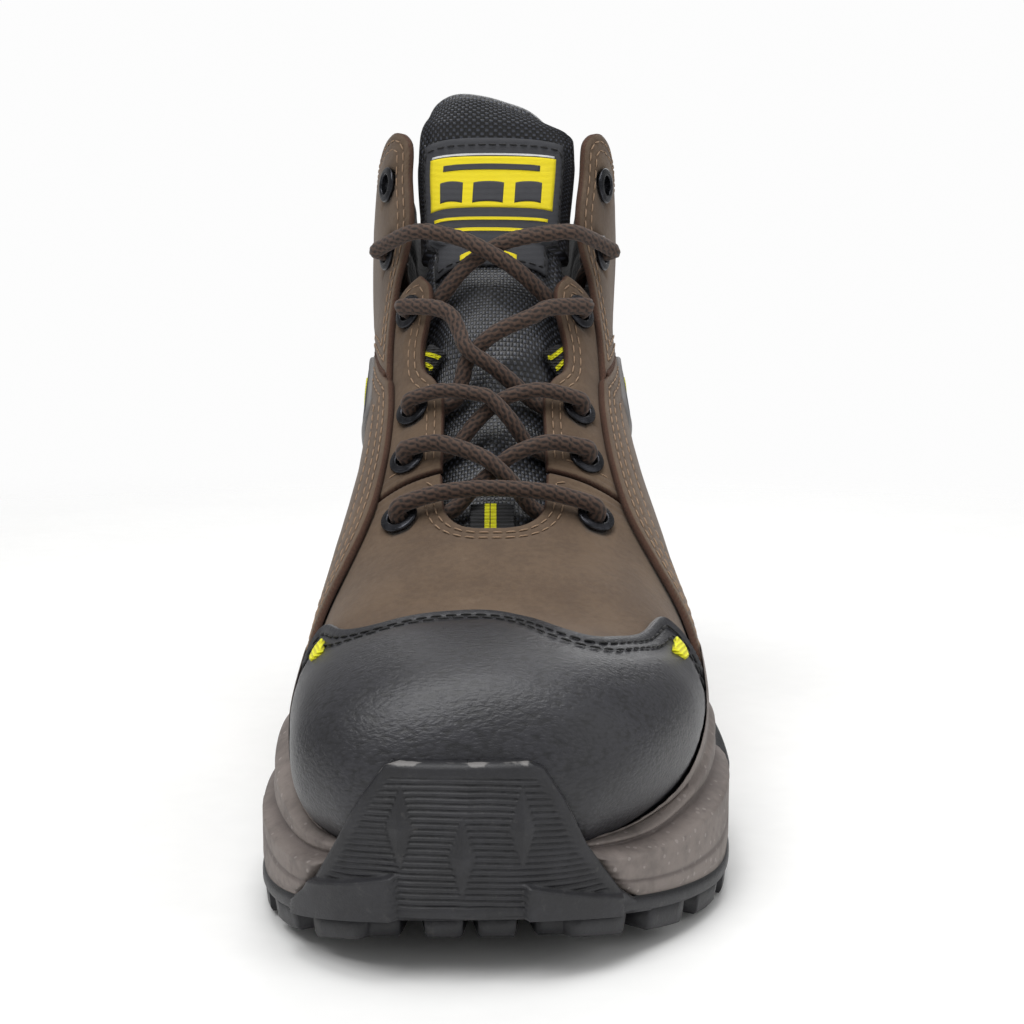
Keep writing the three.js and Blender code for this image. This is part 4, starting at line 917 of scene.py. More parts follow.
def collar_outline(name):
    s = np.linspace(10.25, 17.2, 60)
    a = np.linspace(46, 179.6, 70)
    return mirror(np.concatenate([
        path_of(s, TAB_EDGE(s)), path_of(TOP_LINE(a), a), path_of(np.linspace(17.1, 15.95, 8), 179.6),
        path_of(COLLAR_SEAM(a[::-1]) + 0.04, a[::-1])]), name)


# ---------- lace route ----------
LACE = 4.2
LACE_BEND = 2.6
R_LACE = LACE / 2
FLANGE = 1.2
BARREL_FOOT = 0.9
OVER = GAP + FLANGE + R_LACE + GAP
UNDER = LEATHER + BARREL_FOOT + R_LACE + GAP
THROAT_HALF = (15, 15.5, 17, 27)
CROSS_AT = (0.54, 0.73, 0.38, 0.42)
CROSS_ANGLE = (0, 0, -9, -5)
CROSS_END = (1, 1, 0.86, 0.8)
TAIL = ((26.6, 26.0, 143.9), (25.2, 30.6, 139.2), (21.4, 33, 134), (17.8, 31, 124), (17, 26, 108),
        (17, 19, 90), (17, 13, 70), (17.4, 8.5, 53), (18, 2, 40.5), (18.4, -8, 34.2),
        (18, -24, 31.4), (16.2, -42, 30.2), (13.4, -60, 29.6), (11.8, -78, 29.6), (12.4, -96, 30.4))
AGLET_LENGTH = 22.0
AGLET_DIAMETER = 3.4


def eyelet_frame(row, name):
    """Centre, normal, height of the leather's face and of its back at an eyelet."""
    s, a = EYELETS[row]
    a = a * side(name)
    seat, foot = (GAP + OVERLAY, GAP) if row in TAB_ROWS else (0.0, -LEATHER)
    return surface(s, a), outward(s, a), seat, foot


def square_to(point, normal, target):
    d = np.asarray(target) - point
    return unit(d - normal * np.dot(d, normal))


def through(row, name, start, end):
    """The lace turns in over a flange from start, down the hole and out towards end."""
    point, normal, seat, foot = eyelet_frame(row, name)
    high = seat + OVER - LACE_BEND
    low = BARREL_FOOT + R_LACE + GAP - foot - LACE_BEND

    def bend(target, h, sign):
        d = square_to(point, normal, target)
        return [point + d * LACE_BEND * (1 - math.cos(t)) + normal * (h + sign * LACE_BEND * math.sin(t))
                for t in np.radians([90, 60, 30, 0])]
    return bend(start, high, 1) + bend(end, -low, -1)[::-1]


def crossing(row, start, high):
    """The lace comes out from under one side and crosses over the other side's leather."""
    s0, s1 = EYELETS[row][0], EYELETS[row + 1][0]
    k0, k1, half, mid = side(start), -side(start), THROAT_HALF[row], CROSS_AT[row]
    seat = eyelet_frame(row + 1, "lateral")[2]
    middle = OVER - 0.6 if high else OVER - 0.6 - LACE - GAP

    def at(u, a, h):
        return skin(s0 + (s1 - s0) * u, a, h)

    def blend(a, b, u):
        return a + (b - a) * u
    first, cross, end = 0.3 * mid, CROSS_ANGLE[row], CROSS_END[row]
    return [at(0.5 * first, k0 * (half + 4), -UNDER), at(first, k0 * half * 0.88, -UNDER + 0.4),
            at(blend(first, mid, 0.5), blend(k0 * half * 0.88, cross, 0.5), blend(-UNDER, middle, 0.6)),
            at(mid, cross, middle),
            at(blend(mid, end, 0.32), blend(cross, k1 * half, 0.42), blend(middle, OVER, 0.7)),
            at(blend(mid, end, 0.62), k1 * half * 0.92, OVER + 0.2 + 0.7 * seat),
            at(blend(mid, end, 0.85), k1 * (half + 5), OVER + 0.1 + seat)]


def strand(here):
    points = []
    for row in range(4):
        there = "lateral" if here == "medial" else "medial"
        cross = crossing(row, here, here == "lateral")
        after = (crossing(row + 1, there, True)[0] if row < 3
                 else skin(EYELETS[4][0] - 0.1, side(there) * (EYELETS[4][1] + 8), -R_LACE))
        points += cross + through(row + 1, there, cross[-1], after)
        here = there
    return points


def lace_points():
    bar = [skin(EYELETS[0][0] + 0.1 - abs(a) * 0.003, a, OVER - (0.6 if abs(a) < 5 else 0))
           for a in (-24, -15, 0, 15, 24)]
    left = through(0, "medial", bar[0], crossing(0, "medial", True)[0])
    right = through(0, "lateral", bar[-1], crossing(0, "lateral", True)[0])
    return np.array(strand("medial")[::-1] + left[::-1] + bar + right + strand("lateral"))


def tail_points(name):
    lace = lace_points()
    before, end = (lace[-2], lace[-1]) if name == "lateral" else (lace[1], lace[0])
    way = unit(end - before)
    return np.array([end + way * GAP, end + way * (GAP + R_LACE)]
                    + [np.array([side(name) * x, y, z]) for x, y, z in TAIL])


# ---------- cords ----------
def braid(name, points, diameter, flat=0.86, pitch=0.55, **declared):
    """A braided lace along points: sixteen strands that pass over and under each other."""
    path = smooth_path(points, pitch)
    along_mm = np.concatenate([[0], np.cumsum(np.linalg.norm(np.diff(path, axis=0), axis=1))])
    _, across, up = path_frames(path)
    around = 24
    q = np.linspace(0, 2 * np.pi, around + 1)[:-1]
    w = along_mm[:, None] / 3.0 * 2 * np.pi
    ridge = np.maximum(np.cos(8 * q[None] + w), np.cos(8 * q[None] - w) * 0.92)
    r = diameter / 2 * (0.93 + 0.075 * ridge) + 0.12 * noise(path, 9.0)[:, None]
    r[0], r[-1] = 0.3, 0.3
    rings = (path[:, None] + across[:, None] * (r * np.cos(q))[..., None]
             + up[:, None] * (r * np.sin(q) * flat)[..., None])
    points_all = rings.reshape(-1, 3)
    # The 'braid' attribute is 1 on each strand's crest and 0 between the strands, where the lace material
    # paints shade
    return piece(name, points_all, facing_out(points_all, tube_faces(len(path), around)), MATERIALS["lace"],
                 facts={"braid": (ridge * 0.5 + 0.5).ravel()}, **declared), path


def build_lace():
    width = bpy.context.scene.boot_sizes.braid_width / MM
    braid("lace_braid", lace_points(), width, replaces=["lace"], slot="lace")


def build_tails():
    for name in ("medial", "lateral"):
        points = tail_points(name)
        cord, path = braid("loose_end_" + name, points, LACE, pitch=1.4,
                           replaces=["lace_tail_" + name], slot="lace")
        way = unit(points[-1] - points[-2])
        spine = points[-1] + way * (GAP + np.linspace(0, AGLET_LENGTH, 12)[:, None])
        _, across, up = path_frames(spine)
        q = np.linspace(0, 2 * np.pi, 21)[:-1]
        r = AGLET_DIAMETER / 2 * np.array([.86, .96, 1, 1, .97, 1, 1, .97, 1, 1, .95, .8])
        rings = (spine[:, None] + across[:, None] * (r[:, None] * np.cos(q))[..., None]
                 + up[:, None] * (r[:, None] * np.sin(q))[..., None])
        flat = rings.reshape(-1, 3)
        tip = piece("lace_tip_" + name, flat, facing_out(flat, tube_faces(12, 20)),
                    MATERIALS["aglet"], replaces=["lace_aglet_" + name])


# ---------- linings ----------
def shell(name, s, a, outer, inner, material, ring=False, uv_scale=1.0, **declared):
    """A curved sheet over a grid of sections and angles, between two heights."""
    gs, ga = np.meshgrid(s, a, indexing="ij")
    front, back = skin(gs, ga, outer(gs, ga)), skin(gs, ga, inner(gs, ga))
    points, faces = closed_grid(front, back, ring)
    size = np.stack([ga * 0.72, gs * SECTION_MM], -1).reshape(-1, 2) * uv_scale
    return piece(name, points, faces, MATERIALS[material], uv=np.concatenate([size, size]), **declared)


def build_linings():
    shell("fore_lining", np.concatenate([[0.25], np.linspace(0.5, 6.2, 44)]), np.arange(-180, 180, 4),
          lambda s, a: np.full(s.shape, UNDER_LEATHER - STEEL - GAP),
          lambda s, a: LINING_FACE - 0.15 * noise(surface(s, a), 12), "lining", ring=True,
          replaces=["forepart_lining"], slot="lining")
    s = np.linspace(6.235, 13.77, 66)
    u = np.linspace(0, 1, 76)
    gs = np.repeat(s[:, None], len(u), 1)
    mouth = LINING_MOUTH(gs)
    ga = mouth + (360 - 2 * mouth) * u[None]
    back = 180 - np.abs(180 - ga)
    low = np.where(back > 125, UNDER_LEATHER - STEEL - GAP, UNDER_LEATHER)
    high = np.where((back > 89) | (back < 73), -(1.8 + 2 * GAP), -GAP)
    outer = np.where(gs < 11.8, low, high)
    puff = -0.5 * noise(surface(gs, ga), 22)
    points, faces = closed_grid(skin(gs, ga, outer), skin(gs, ga, LINING_FACE + puff - 0.2))
    size = np.stack([ga * 0.72, gs * SECTION_MM], -1).reshape(-1, 2)
    piece("rear_lining", points, faces, MATERIALS["lining"], replaces=["quarter_lining"],
          slot="lining", uv=np.concatenate([size, size]))


def build_collar():
    """The padded collar: a rolled top edge, a swollen inner face and two sewn channels."""
    a = np.linspace(64, 296, 150)
    profile = np.linspace(0, 1, 56)
    rings = []
    for one in a:
        back = 180 - abs(180 - one)
        top = float(TOP_LINE(back))
        ends = min(max((back - 64) / 22, 0), 1)
        ends = ends * ends * (3 - 2 * ends)
        fat = 5.7 + 3.6 * ends
        lo = 13.82
        ring = []
        for t in profile:
            if t < 0.35:
                u = t / 0.35
                s, d = lo + (top - 0.1 - lo) * u, -GAP - (1.9 if back > 89 and u < 0.22 else 0)
            elif t < 0.6:
                q = math.pi * (t - 0.35) / 0.25
                s = top - 0.1 + 0.34 * math.sin(q)
                d = -GAP - fat / 2 * (1 - math.cos(q)) * 0.96
            else:
                u = (t - 0.6) / 0.4
                s = top - 0.1 + (lo - top + 0.1) * u
                roll = math.sin(math.pi * min(u * 1.04, 1))
                channel = sum(math.exp(-((u - c) / 0.035) ** 2) for c in (0.36, 0.68))
                d = -GAP - fat * 0.96 - 1.1 * roll * ends + 1.7 * channel * ends + 1.1 * ends * u ** 3
                d = min(d, LINING_FACE)
            ring.append((s, one, d))
        rings.append(ring)
    grid = np.array(rings)
    points = skin(grid[..., 0], grid[..., 1], grid[..., 2])
    inner = grid[..., 2] < -3
    rumple = np.where(inner, 0.45, 0.0) * noise(points, 16) + np.where(inner, 0.2, 0) * noise(points, 6)
    points = points + outward(grid[..., 0], grid[..., 1]) * rumple[..., None]
    n, m = points.shape[:2]
    flat = points.reshape(-1, 3)
    run = np.concatenate([[0], np.cumsum(np.linalg.norm(np.diff(points[60], axis=0), axis=1))])
    uv = np.stack([np.repeat(a * 0.6, m), np.tile(run, n)], -1)
    obj = piece("collar_pad", flat, facing_out(flat, tube_faces(n, m)), MATERIALS["lining"],
                replaces=["collar_padding"], slot="lining", uv=uv)


# ---------- leather ----------
def puffed(amount, size=16.0, wrinkle=0.0):
    def relief(base, flat, distance):
        inside = np.clip(distance / 6.0, 0, 1)
        lift = amount * (inside * (2 - inside)) + 0.3 * noise(base, size) * inside
        return lift + wrinkle * noise(base * [0.4, 1, 1], 4.5) * inside
    return relief


def build_vamp():
    outline = vamp_outline()
    holes = [(EYELETS[0][0], side(k) * EYELETS[0][1], PUNCHED) for k in ("medial", "lateral")]

    def relief(base, flat, distance):
        crease = np.exp(-((flat[:, 0] - 5.95) / 0.5) ** 2) * np.clip(1 - np.abs(flat[:, 1]) / 70, 0, 1)
        fold = 0.35 * crease * noise(base * [0.3, 1.2, 1], 7)
        under_cover = np.clip((CAP_EDGE(flat[:, 1]) - flat[:, 0]) / 0.3, 0, 1)
        return (fold + 0.25 * noise(base, 18)) * (1 - under_cover) - 0.15
    panel("vamp_leather", outline, 0.0, -LEATHER, "nubuck", "raw_edge", holes, relief=relief,
          channels=(2.4, 4.6), replaces=["vamp"], slot="nubuck")
    throat = lambda s, a: (np.abs(a) < 24) & (s > 6.6)
    rows = [(r, 0.0) for d in (2.4, 4.6) for r in seam(outline, d, throat)]
    stitches("vamp_stitching", rows, "thread")


def build_cover():
    outline = cover_outline()

    def relief(base, flat, distance):
        behind = (CAP_EDGE(flat[:, 1]) - flat[:, 0]) * SECTION_MM
        lip = 0.75 * np.exp(-((distance - 1.1) / 1.3) ** 2) * (behind < 14)
        step = 0.6 * np.clip((distance - 8.0) / 2.2, 0, 1) * (behind > 0)
        return lip + step + 0.12 * noise(base, 9) - 0.45
    panel("toe_cover_leather", outline, GAP + OVERLAY, GAP, "toe_leather", "rubber", edge=1.0,
          channels=(3.1, 5.9), relief=relief, pitch=2.4, replaces=["toe_cap_cover"],
          slot="toe_leather")
    rear = lambda s, a: s > CAP_EDGE(a) - 0.9
    rows = [(r, GAP + OVERLAY - 0.25) for d in (3.1, 5.9) for r in seam(outline, d, rear)]
    stitches("toe_cover_stitching", rows, "thread_black", heavier=1.3)


def build_eyestays():
    for name in ("medial", "lateral"):
        k = side(name)
        outline = eyestay_outline(name)
        holes = [(EYELETS[r][0], k * EYELETS[r][1], PUNCHED) for r in (1, 2, 3)]
        panel("eyestay_leather_" + name, outline, 0.0, -LEATHER, "nubuck", "raw_edge", holes,
              channels=(2.2, 4.4), relief=puffed(0.15), replaces=["eyestay_" + name], slot="nubuck")
        front = lambda s, a: (np.abs(a) < 40) & (s > 8.3)
        rows = [(r, 0.1) for d in (2.2, 4.4) for r in seam(outline, d, front)]
        stitches("eyestay_stitching_" + name, rows, "thread")


def build_quarters():
    for name in ("medial", "lateral"):
        outline = quarter_outline(name)
        panel("quarter_leather_" + name, outline, GAP + OVERLAY, GAP, "nubuck", "raw_edge",
              channels=(2.4, 4.8, 8.6), relief=puffed(0.3, 20.0, 0.08), replaces=["quarter_" + name],
              slot="nubuck")
        shown = lambda s, a: (np.abs(a) < sole_angle(s) - 8) & (np.abs(a) < 176)
        front = lambda s, a: (np.abs(a) < 95) & (s < 10.3) & shown(s, a)
        rows = [(r, GAP + OVERLAY + 0.12) for d in (2.4, 4.8) for r in seam(outline, d, shown)]
        rows += [(r, GAP + OVERLAY + 0.2) for r in seam(outline, 8.6, front)]
        stitches("quarter_stitching_" + name, rows, "thread")


def build_collar_panels():
    for name in ("medial", "lateral"):
        k = side(name)
        outline = collar_outline(name)
        holes = [(EYELETS[r][0], k * EYELETS[r][1], PUNCHED) for r in TAB_ROWS]

        def relief(base, flat, distance):
            soft = np.clip((np.abs(flat[:, 1]) - 62) / 20, 0, 1) * np.clip(distance / 9, 0, 1)
            inside = np.clip(distance / 6, 0, 1)
            return 1.1 * soft + 0.3 * noise(base, 14) * inside + 0.2 * inside
        panel("collar_leather_" + name, outline, GAP + OVERLAY, GAP, "nubuck", "raw_edge", holes,
              channels=(2.2, 4.6), relief=relief, replaces=["collar_panel_" + name], slot="nubuck")
        shown = lambda s, a: np.abs(a) < 176
        rows = [(r, GAP + OVERLAY + 0.1) for d in (2.2, 4.6) for r in seam(outline, d, shown)]
        stitches("collar_stitching_" + name, rows, "thread")
        a = np.linspace(46, 178, 160)
        seam_line = skin(COLLAR_SEAM(a), k * a, np.full(len(a), GAP + OVERLAY - 0.85))
        ribbon("collar_piping_" + name, seam_line, outward(COLLAR_SEAM(a), k * a), 1.9, 1.4, "raw_edge",
               ribs=1)


def build_backstay():
    s = np.linspace(13.92, 16.58, 40)
    half = 12.5 + 5.0 * np.cos((s - 13.92) / 2.66 * 2 * np.pi) ** 2
    outline = np.concatenate([path_of(s, 180 - half), path_of(s[::-1], 180 + half[::-1])])
    panel("backstay_leather", outline, ON_TOP + OVERLAY, ON_TOP, "nubuck", "raw_edge",
          channels=(2.2, 4.4), relief=puffed(0.2), pitch=2.4, replaces=["backstay"], slot="nubuck")
    rows = [(r, ON_TOP + OVERLAY + 0.05) for d in (2.2, 4.4) for r in seam(outline, d)]
    stitches("backstay_stitching", rows, "thread")


def build_trim():
    for name in ("medial", "lateral"):
        k = side(name)
        flash = mirror(np.array([(4.93, 54.5), (5.33, 55.5), (5.28, 60), (5.1, 62), (4.9, 60), (4.9, 56)]),
                       name)
        panel("flash_" + name, flash, ON_TOP + 0.5, ON_TOP - 0.9, "accent", edge=0.4, pitch=0.8,
              replaces=["toe_flash_" + name], slot="accent")
        u = np.linspace(0, 2 * np.pi, 60)[:-1]
        cu, cv = np.cos(u), np.sin(u)
        u1 = 0.5 + 0.5 * np.sign(cu) * np.abs(cu) ** 0.5
        v1 = 0.5 + 0.5 * np.sign(cv) * np.abs(cv) ** 0.5
        badge = path_of(10.5 + 1.5 * u1 + 0.9 * (v1 - 0.3), k * (56 + 28 * v1))
        panel("badge_" + name, badge, ON_TOP + 0.9, ON_TOP - 1.2, "rubber", edge=0.9, channels=(2.2,),
              pitch=1.6, replaces=["side_badge_" + name], slot="accent")
        inner = dense(badge, 0.8)
        middle = inner.mean(0)
        stripe = middle + (inner - middle) * [0.2, 0.62]
        panel("badge_stripe_" + name, stripe, ON_TOP + 1.25, ON_TOP + 0.3, "accent", edge=0.3, pitch=1.0)


# ---------- tongue ----------
TONGUE_FOLD = 13.6
TONGUE_TOP = 196.0
TONGUE_BROW = curve_of([(-1, 17), (-0.9, 9), (-0.75, 4.2), (-0.55, 1.2), (-0.35, 0), (-0.1, 0.8), (0.1, 2.6),
                        (0.3, 4.8), (0.56, 10), (0.75, 14), (0.88, 18), (1, 24)])
THROAT_S = 6.9


def tongue_height(s, a):
    base = np.clip((s - THROAT_S + 0.15) / 0.45, 0, 1)
    edge = np.clip((np.abs(a) - 0.72 * TONGUE_EDGE(s)) / (0.28 * TONGUE_EDGE(s)), 0, 1)
    sunk = -TONGUE_DEPTH + edge * edge * 1.8
    return (UNDER_LEATHER - 0.3) * (1 - base) + sunk * base


def tongue_point(s, v, face):
    """A point of the tongue's middle sheet, moved out (1) or in (-1) by half its thickness."""
    s, v = np.broadcast_arrays(np.asarray(s, float), np.asarray(v, float))
    a = v * TONGUE_EDGE(s) * np.where(s > 12.6, 0.96, 1.0)
    upper = np.clip((s - 12.9) / 0.7, 0, 1)
    lower_mid = tongue_height(s, a) - TONGUE / 2
    upper_mid = -TONGUE_DEPTH - TONGUE / 2 + np.abs(v) ** 3 * 0.5
    mid = lower_mid * (1 - upper) + upper_mid * upper
    rim = np.sqrt(np.clip(1 - np.clip((np.abs(v) - 0.9) / 0.1, 0, 1) ** 2, 0.0, 1))
    fat = (TONGUE / 2 + 0.5 * upper) * (0.25 + 0.75 * rim)
    p = skin(s, a, mid + face * fat)
    u = np.clip((s - 12.9) / 4.4, 0, 1)
    crown = np.clip((u - 0.72) / 0.28, 0, 1)
    p[..., 2] += (TONGUE_TOP - 2.2 - p[..., 2]) * crown - TONGUE_BROW(v) * crown * crown
    half = np.where(v > 0, 24.6, 23.0) + 3.6 * np.clip((s - 14.2) / 1.6, 0, 1)
    wide = np.where(s > 12.9, half, 60)
    p[..., 0] = wide * np.tanh(p[..., 0] / wide * 1.15) / np.tanh(1.15) * (s > 12.9) + p[..., 0] * (s <= 12.9)
    return p


def build_tongue():
    s = np.concatenate([np.linspace(6.47, 12.9, 150), np.linspace(12.95, 17.3, 90)])
    v = np.linspace(-1, 1, 60)
    gs, gv = np.meshgrid(s, v, indexing="ij")
    lace = smooth_path(lace_points(), 2.0)
    grids = []
    for face in (1, -1):
        p = tongue_point(gs, gv, face)
        direction = unit(p - tongue_point(gs, gv, 0))
        soft = np.clip((1 - np.abs(gv)) / 0.35, 0, 1) * np.clip((gs - 7.6) / 0.8, 0, 1)
        swell = 0.45 * noise(p, 17) + 0.12 * noise(p, 6)
        if face == 1:
            flat = p.reshape(-1, 3)
            near = np.empty(len(flat))
            for k in range(0, len(flat), 1000):
                near[k:k + 1000] = np.sqrt(((flat[k:k + 1000, None] - lace[None]) ** 2).sum(-1)).min(1)
            near = near.reshape(gs.shape)
            puff = np.clip((near - 4.0) / 9.0, 0, 1)
            swell = swell + 1.9 * puff * puff * (3 - 2 * puff) * np.where(gs > 13.4, 0.45, 1.0)
            label = np.clip((0.86 - np.abs(gv)) / 0.08, 0, 1) * np.clip((gs - 11.7) / 0.35, 0, 1)
            label = label * np.clip((16.6 - gs) / 0.3, 0, 1)
            swell = np.minimum(swell * (1 - label), np.maximum(near - 3.0, 0) * 0.6)
            swell -= 0.5 * np.exp(-((np.abs(gv) - 0.8) / 0.03) ** 2)
        grids.append(p + direction * (swell * soft)[..., None])
    top = grids[0][-1] - grids[1][-1]
    crown = []
    for q in np.linspace(0, np.pi, 9)[1:-1]:
        middle = (grids[0][-1] + grids[1][-1]) / 2
        crown.append(middle + top / 2 * math.cos(q) + [0, 0, 2.1 * math.sin(q)])
    front = np.concatenate([grids[0], np.array(crown)])
    back = np.concatenate([grids[1], np.array([crown[-1]] * len(crown))])
    points, faces = closed_grid(front, back)
    size = np.stack([gv * 24, gs * SECTION_MM], -1)
    tail = np.repeat(size[-1:], 7, 0) + np.arange(1, 8)[:, None, None] * [0, 0.9]
    uv = np.concatenate([size, tail]).reshape(-1, 2)
    obj = piece("tongue_padded", points, faces, MATERIALS["ballistic"], body=None,
                replaces=["tongue_lower", "tongue_upper"], slot="webbing",
                uv=np.concatenate([uv, uv + 0.7]))
    with_tongue(obj)


def with_tongue(obj):
    """Bakes a piece's transform into its mesh. The direction across the tongue's fold is worked out but not
    used.
    """
    way = skin(TONGUE_FOLD + 0.5, 0, -TONGUE_DEPTH) - skin(TONGUE_FOLD - 0.5, 0, -TONGUE_DEPTH)
    way = unit(way)
    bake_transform(obj)


def tongue_patch(name, centre_s, centre_v, outline, lift, thick, material, rows=14, replaces=(),
                 slot=None):
    """A thin patch on the tongue: outline(t) gives its half width for t from -1 to 1 of its height."""
    half_s, shape = outline
    t = np.linspace(-1, 1, rows)
    w = np.linspace(-1, 1, 26)
    gt, gw = np.meshgrid(t, w, indexing="ij")
    width, bow = shape(gt)
    s = centre_s + half_s * gt + bow * (1 - gw ** 2)
    v = centre_v + gw * width
    base = tongue_point(s, v, 1)
    d = unit(base - tongue_point(s, v, 0))
    edge = np.minimum(1 - np.abs(gt), (1 - np.abs(gw)) * 1.5)
    round_edge = np.clip(edge / 0.06, 0, 1)
    top = base + d * (lift + thick * (0.5 + 0.5 * round_edge))[..., None]
    bottom = base + d * np.full(s.shape, lift)[..., None]
    points, faces = closed_grid(top, bottom)
    return piece(name, points, faces, MATERIALS[material], None, replaces, slot)


def flat_shape(width, bow=0.0):
    return lambda t: (np.full(t.shape, width), np.full(t.shape, bow))


def label_shape(low, high, bow):
    return lambda t: (low + (high - low) * (t + 1) / 2, np.full(t.shape, bow))


def build_label():
    """The woven label with plain marks, laid over the tongue."""
    centre, across, half, width = 14.15, -0.05, 2.05, 0.74
    parts = [tongue_patch("label_patch", centre, across, (half, label_shape(0.76, 0.72, 0.1)), 0.5, 0.7,
                          "label_cloth", rows=60, replaces=["tongue_label"], slot="webbing")]
    marks = (("label_panel", 14.78, 0.98, 0.60, 0.10, "label_yellow", 1.15),
             ("label_arc_top", 15.84, 0.045, 0.58, 0.11, "label_white", 1.15),
             ("label_arc_low", 12.38, 0.07, 0.33, 0.16, "label_yellow", 1.15),
             ("label_band", 15.3, 0.13, 0.42, 0.08, "label_cloth", 1.35),
             ("label_row", 13.46, 0.05, 0.55, 0.05, "label_yellow", 1.15),
             ("label_row_low", 13.12, 0.05, 0.38, 0.05, "label_yellow", 1.15))
    for name, s, half_high, half_wide, bow, material, lift in marks:
        parts.append(tongue_patch(name, s, across, (half_high, flat_shape(half_wide, bow)), lift, 0.2,
                                  material, rows=24))
    for k in range(3):
        parts.append(tongue_patch(f"label_block_{k}", 14.4, across + (k - 1) * 0.33,
                                  (0.34, flat_shape(0.12, 0.05)), 1.35, 0.16, "label_cloth", rows=10))
    t = np.linspace(-1, 1, 70)
    reach, edge = half - 0.12, (width - 0.04) * np.ones(70)
    loop = np.concatenate([
        np.stack([centre - reach * np.ones(70), t * edge], -1), np.stack([centre + t * reach, edge], -1),
        np.stack([centre + reach * np.ones(70), -t * edge], -1), np.stack([centre - t * reach, -edge], -1)])
    s = loop[:, 0] + 0.1 * (1 - (loop[:, 1] / width) ** 2)
    v = loop[:, 1] + across
    line = tongue_point(s, v, 1)
    d = unit(line - tongue_point(s, v, 0))
    parts.append(thread_run("label_stitching", line + d * 1.22, d, "thread_black", body=None))
    for part in parts:
        with_tongue(part)


def thread_run(name, line, normal, material, body="boot"):
    """A row of stitches along a line in space."""
    width = 0.45
    both, _ = resample(np.hstack([line, normal]), 3.0)
    points, faces = [], []
    q = np.linspace(0, 2 * np.pi, 7)[:-1]
    for a, b, up in zip(both[:-1, :3], both[1:, :3], both[:-1, 3:]):
        way = b - a
        size = np.linalg.norm(way)
        if size < 0.3:
            continue
        way = way / size
        across = np.cross(way, up)
        start = len(points)
        for share, fat in ((0.1, 0.3), (0.18, 0.85), (0.3, 1), (0.6, 1), (0.74, 0.85), (0.82, 0.3)):
            centre = a + way * size * share + up * (0.14 * fat - 0.06)
            r = width / 2 * fat
            points += [centre + across * r * math.cos(t) + up * r * math.sin(t) for t in q]
        faces += grid_faces(6, 6, ring=True, start=start)
        faces += [tuple(start + j for j in reversed(range(6))), tuple(start + 30 + j for j in range(6))]
    return piece(name, points, faces, MATERIALS[material], body)


def ribbon(name, middle, up, width, thick, material, body="boot", ribs=8, replaces=(), slot=None):
    """Ribbed webbing along a line: middle points, the way its face looks, width and thickness."""
    _, across, up = path_frames(middle, up)
    w = np.linspace(-1, 1, 34)
    rim = np.sqrt(np.clip(1 - np.clip((np.abs(w) - 0.86) / 0.14, 0, 1) ** 2, 0, 1))
    rib = 0.09 * np.cos(w * math.pi * ribs) * (np.abs(w) < 0.93)
    run = np.concatenate([[0], np.cumsum(np.linalg.norm(np.diff(middle, axis=0), axis=1))])
    pick = 0.07 * np.cos(run * 2 * np.pi / 1.1)[:, None] * (np.abs(w) < 0.93)[None]
    height = thick / 2 * (0.35 + 0.65 * rim)[None] + rib[None] + pick
    side_by = across[:, None] * (w * width / 2)[None, :, None]
    points, faces = closed_grid(middle[:, None] + side_by + up[:, None] * height[..., None],
                                middle[:, None] + side_by - up[:, None] * height[..., None])
    return piece(name, points, faces, MATERIALS[material], body, replaces, slot)


def build_keeper():
    s = np.linspace(7.02, 7.66, 36)
    for name, span, lift, material in (("keeper_band", (-7.6, 7.6), 0.0, "webbing"),
                                       ("keeper_stripe_a", (-2.1, -0.25), 0.28, "accent"),
                                       ("keeper_stripe_b", (0.1, 1.9), 0.28, "accent")):
        a = np.linspace(*span, 30)
        gs, ga = np.meshgrid(s, a, indexing="ij")
        rib = 0.16 * np.cos((gs - 7.02) / 0.125 * 2 * np.pi)
        h = tongue_height(gs, ga) + GAP + 0.3
        points, faces = closed_grid(skin(gs, ga, h + WEBBING + rib + lift), skin(gs, ga, h + lift))
        replaced = ["tongue_lace_keeper"] if name == "keeper_band" else []
        piece(name, points, faces, MATERIALS[material], replaces=replaced, slot="webbing")


def build_lace_loops():
    """Folded webbing loops that stand in the notches of the eyestays."""
    for name in ("medial", "lateral"):
        k = side(name)
        q = np.linspace(-0.2, 1.0, 34)
        a = 27.6 + 5.4 * q
        s = 10.28 + 0.16 * q
        lift = -4.9 + 1.9 * np.sin(np.clip(q, 0, 1) * np.pi * 0.9)
        middle = skin(s, k * a, lift)
        up = outward(s, k * a)
        ribbon("lace_loop_" + name, middle, up, 8.4, 1.5, "webbing",
               replaces=["webbing_loop_" + name], slot="webbing")
        for j, shift in enumerate((-2.1, 1.4)):
            _, across, face = path_frames(middle, up)
            wobble = 0.5 * np.sin(np.linspace(0, 5, 34) + j)[:, None]
            strand_line = middle + across * (shift + wobble) + face * 0.86
            ribbon(f"lace_loop_strand_{name}_{j}", strand_line, face, 1.25, 0.4, "accent", ribs=2)


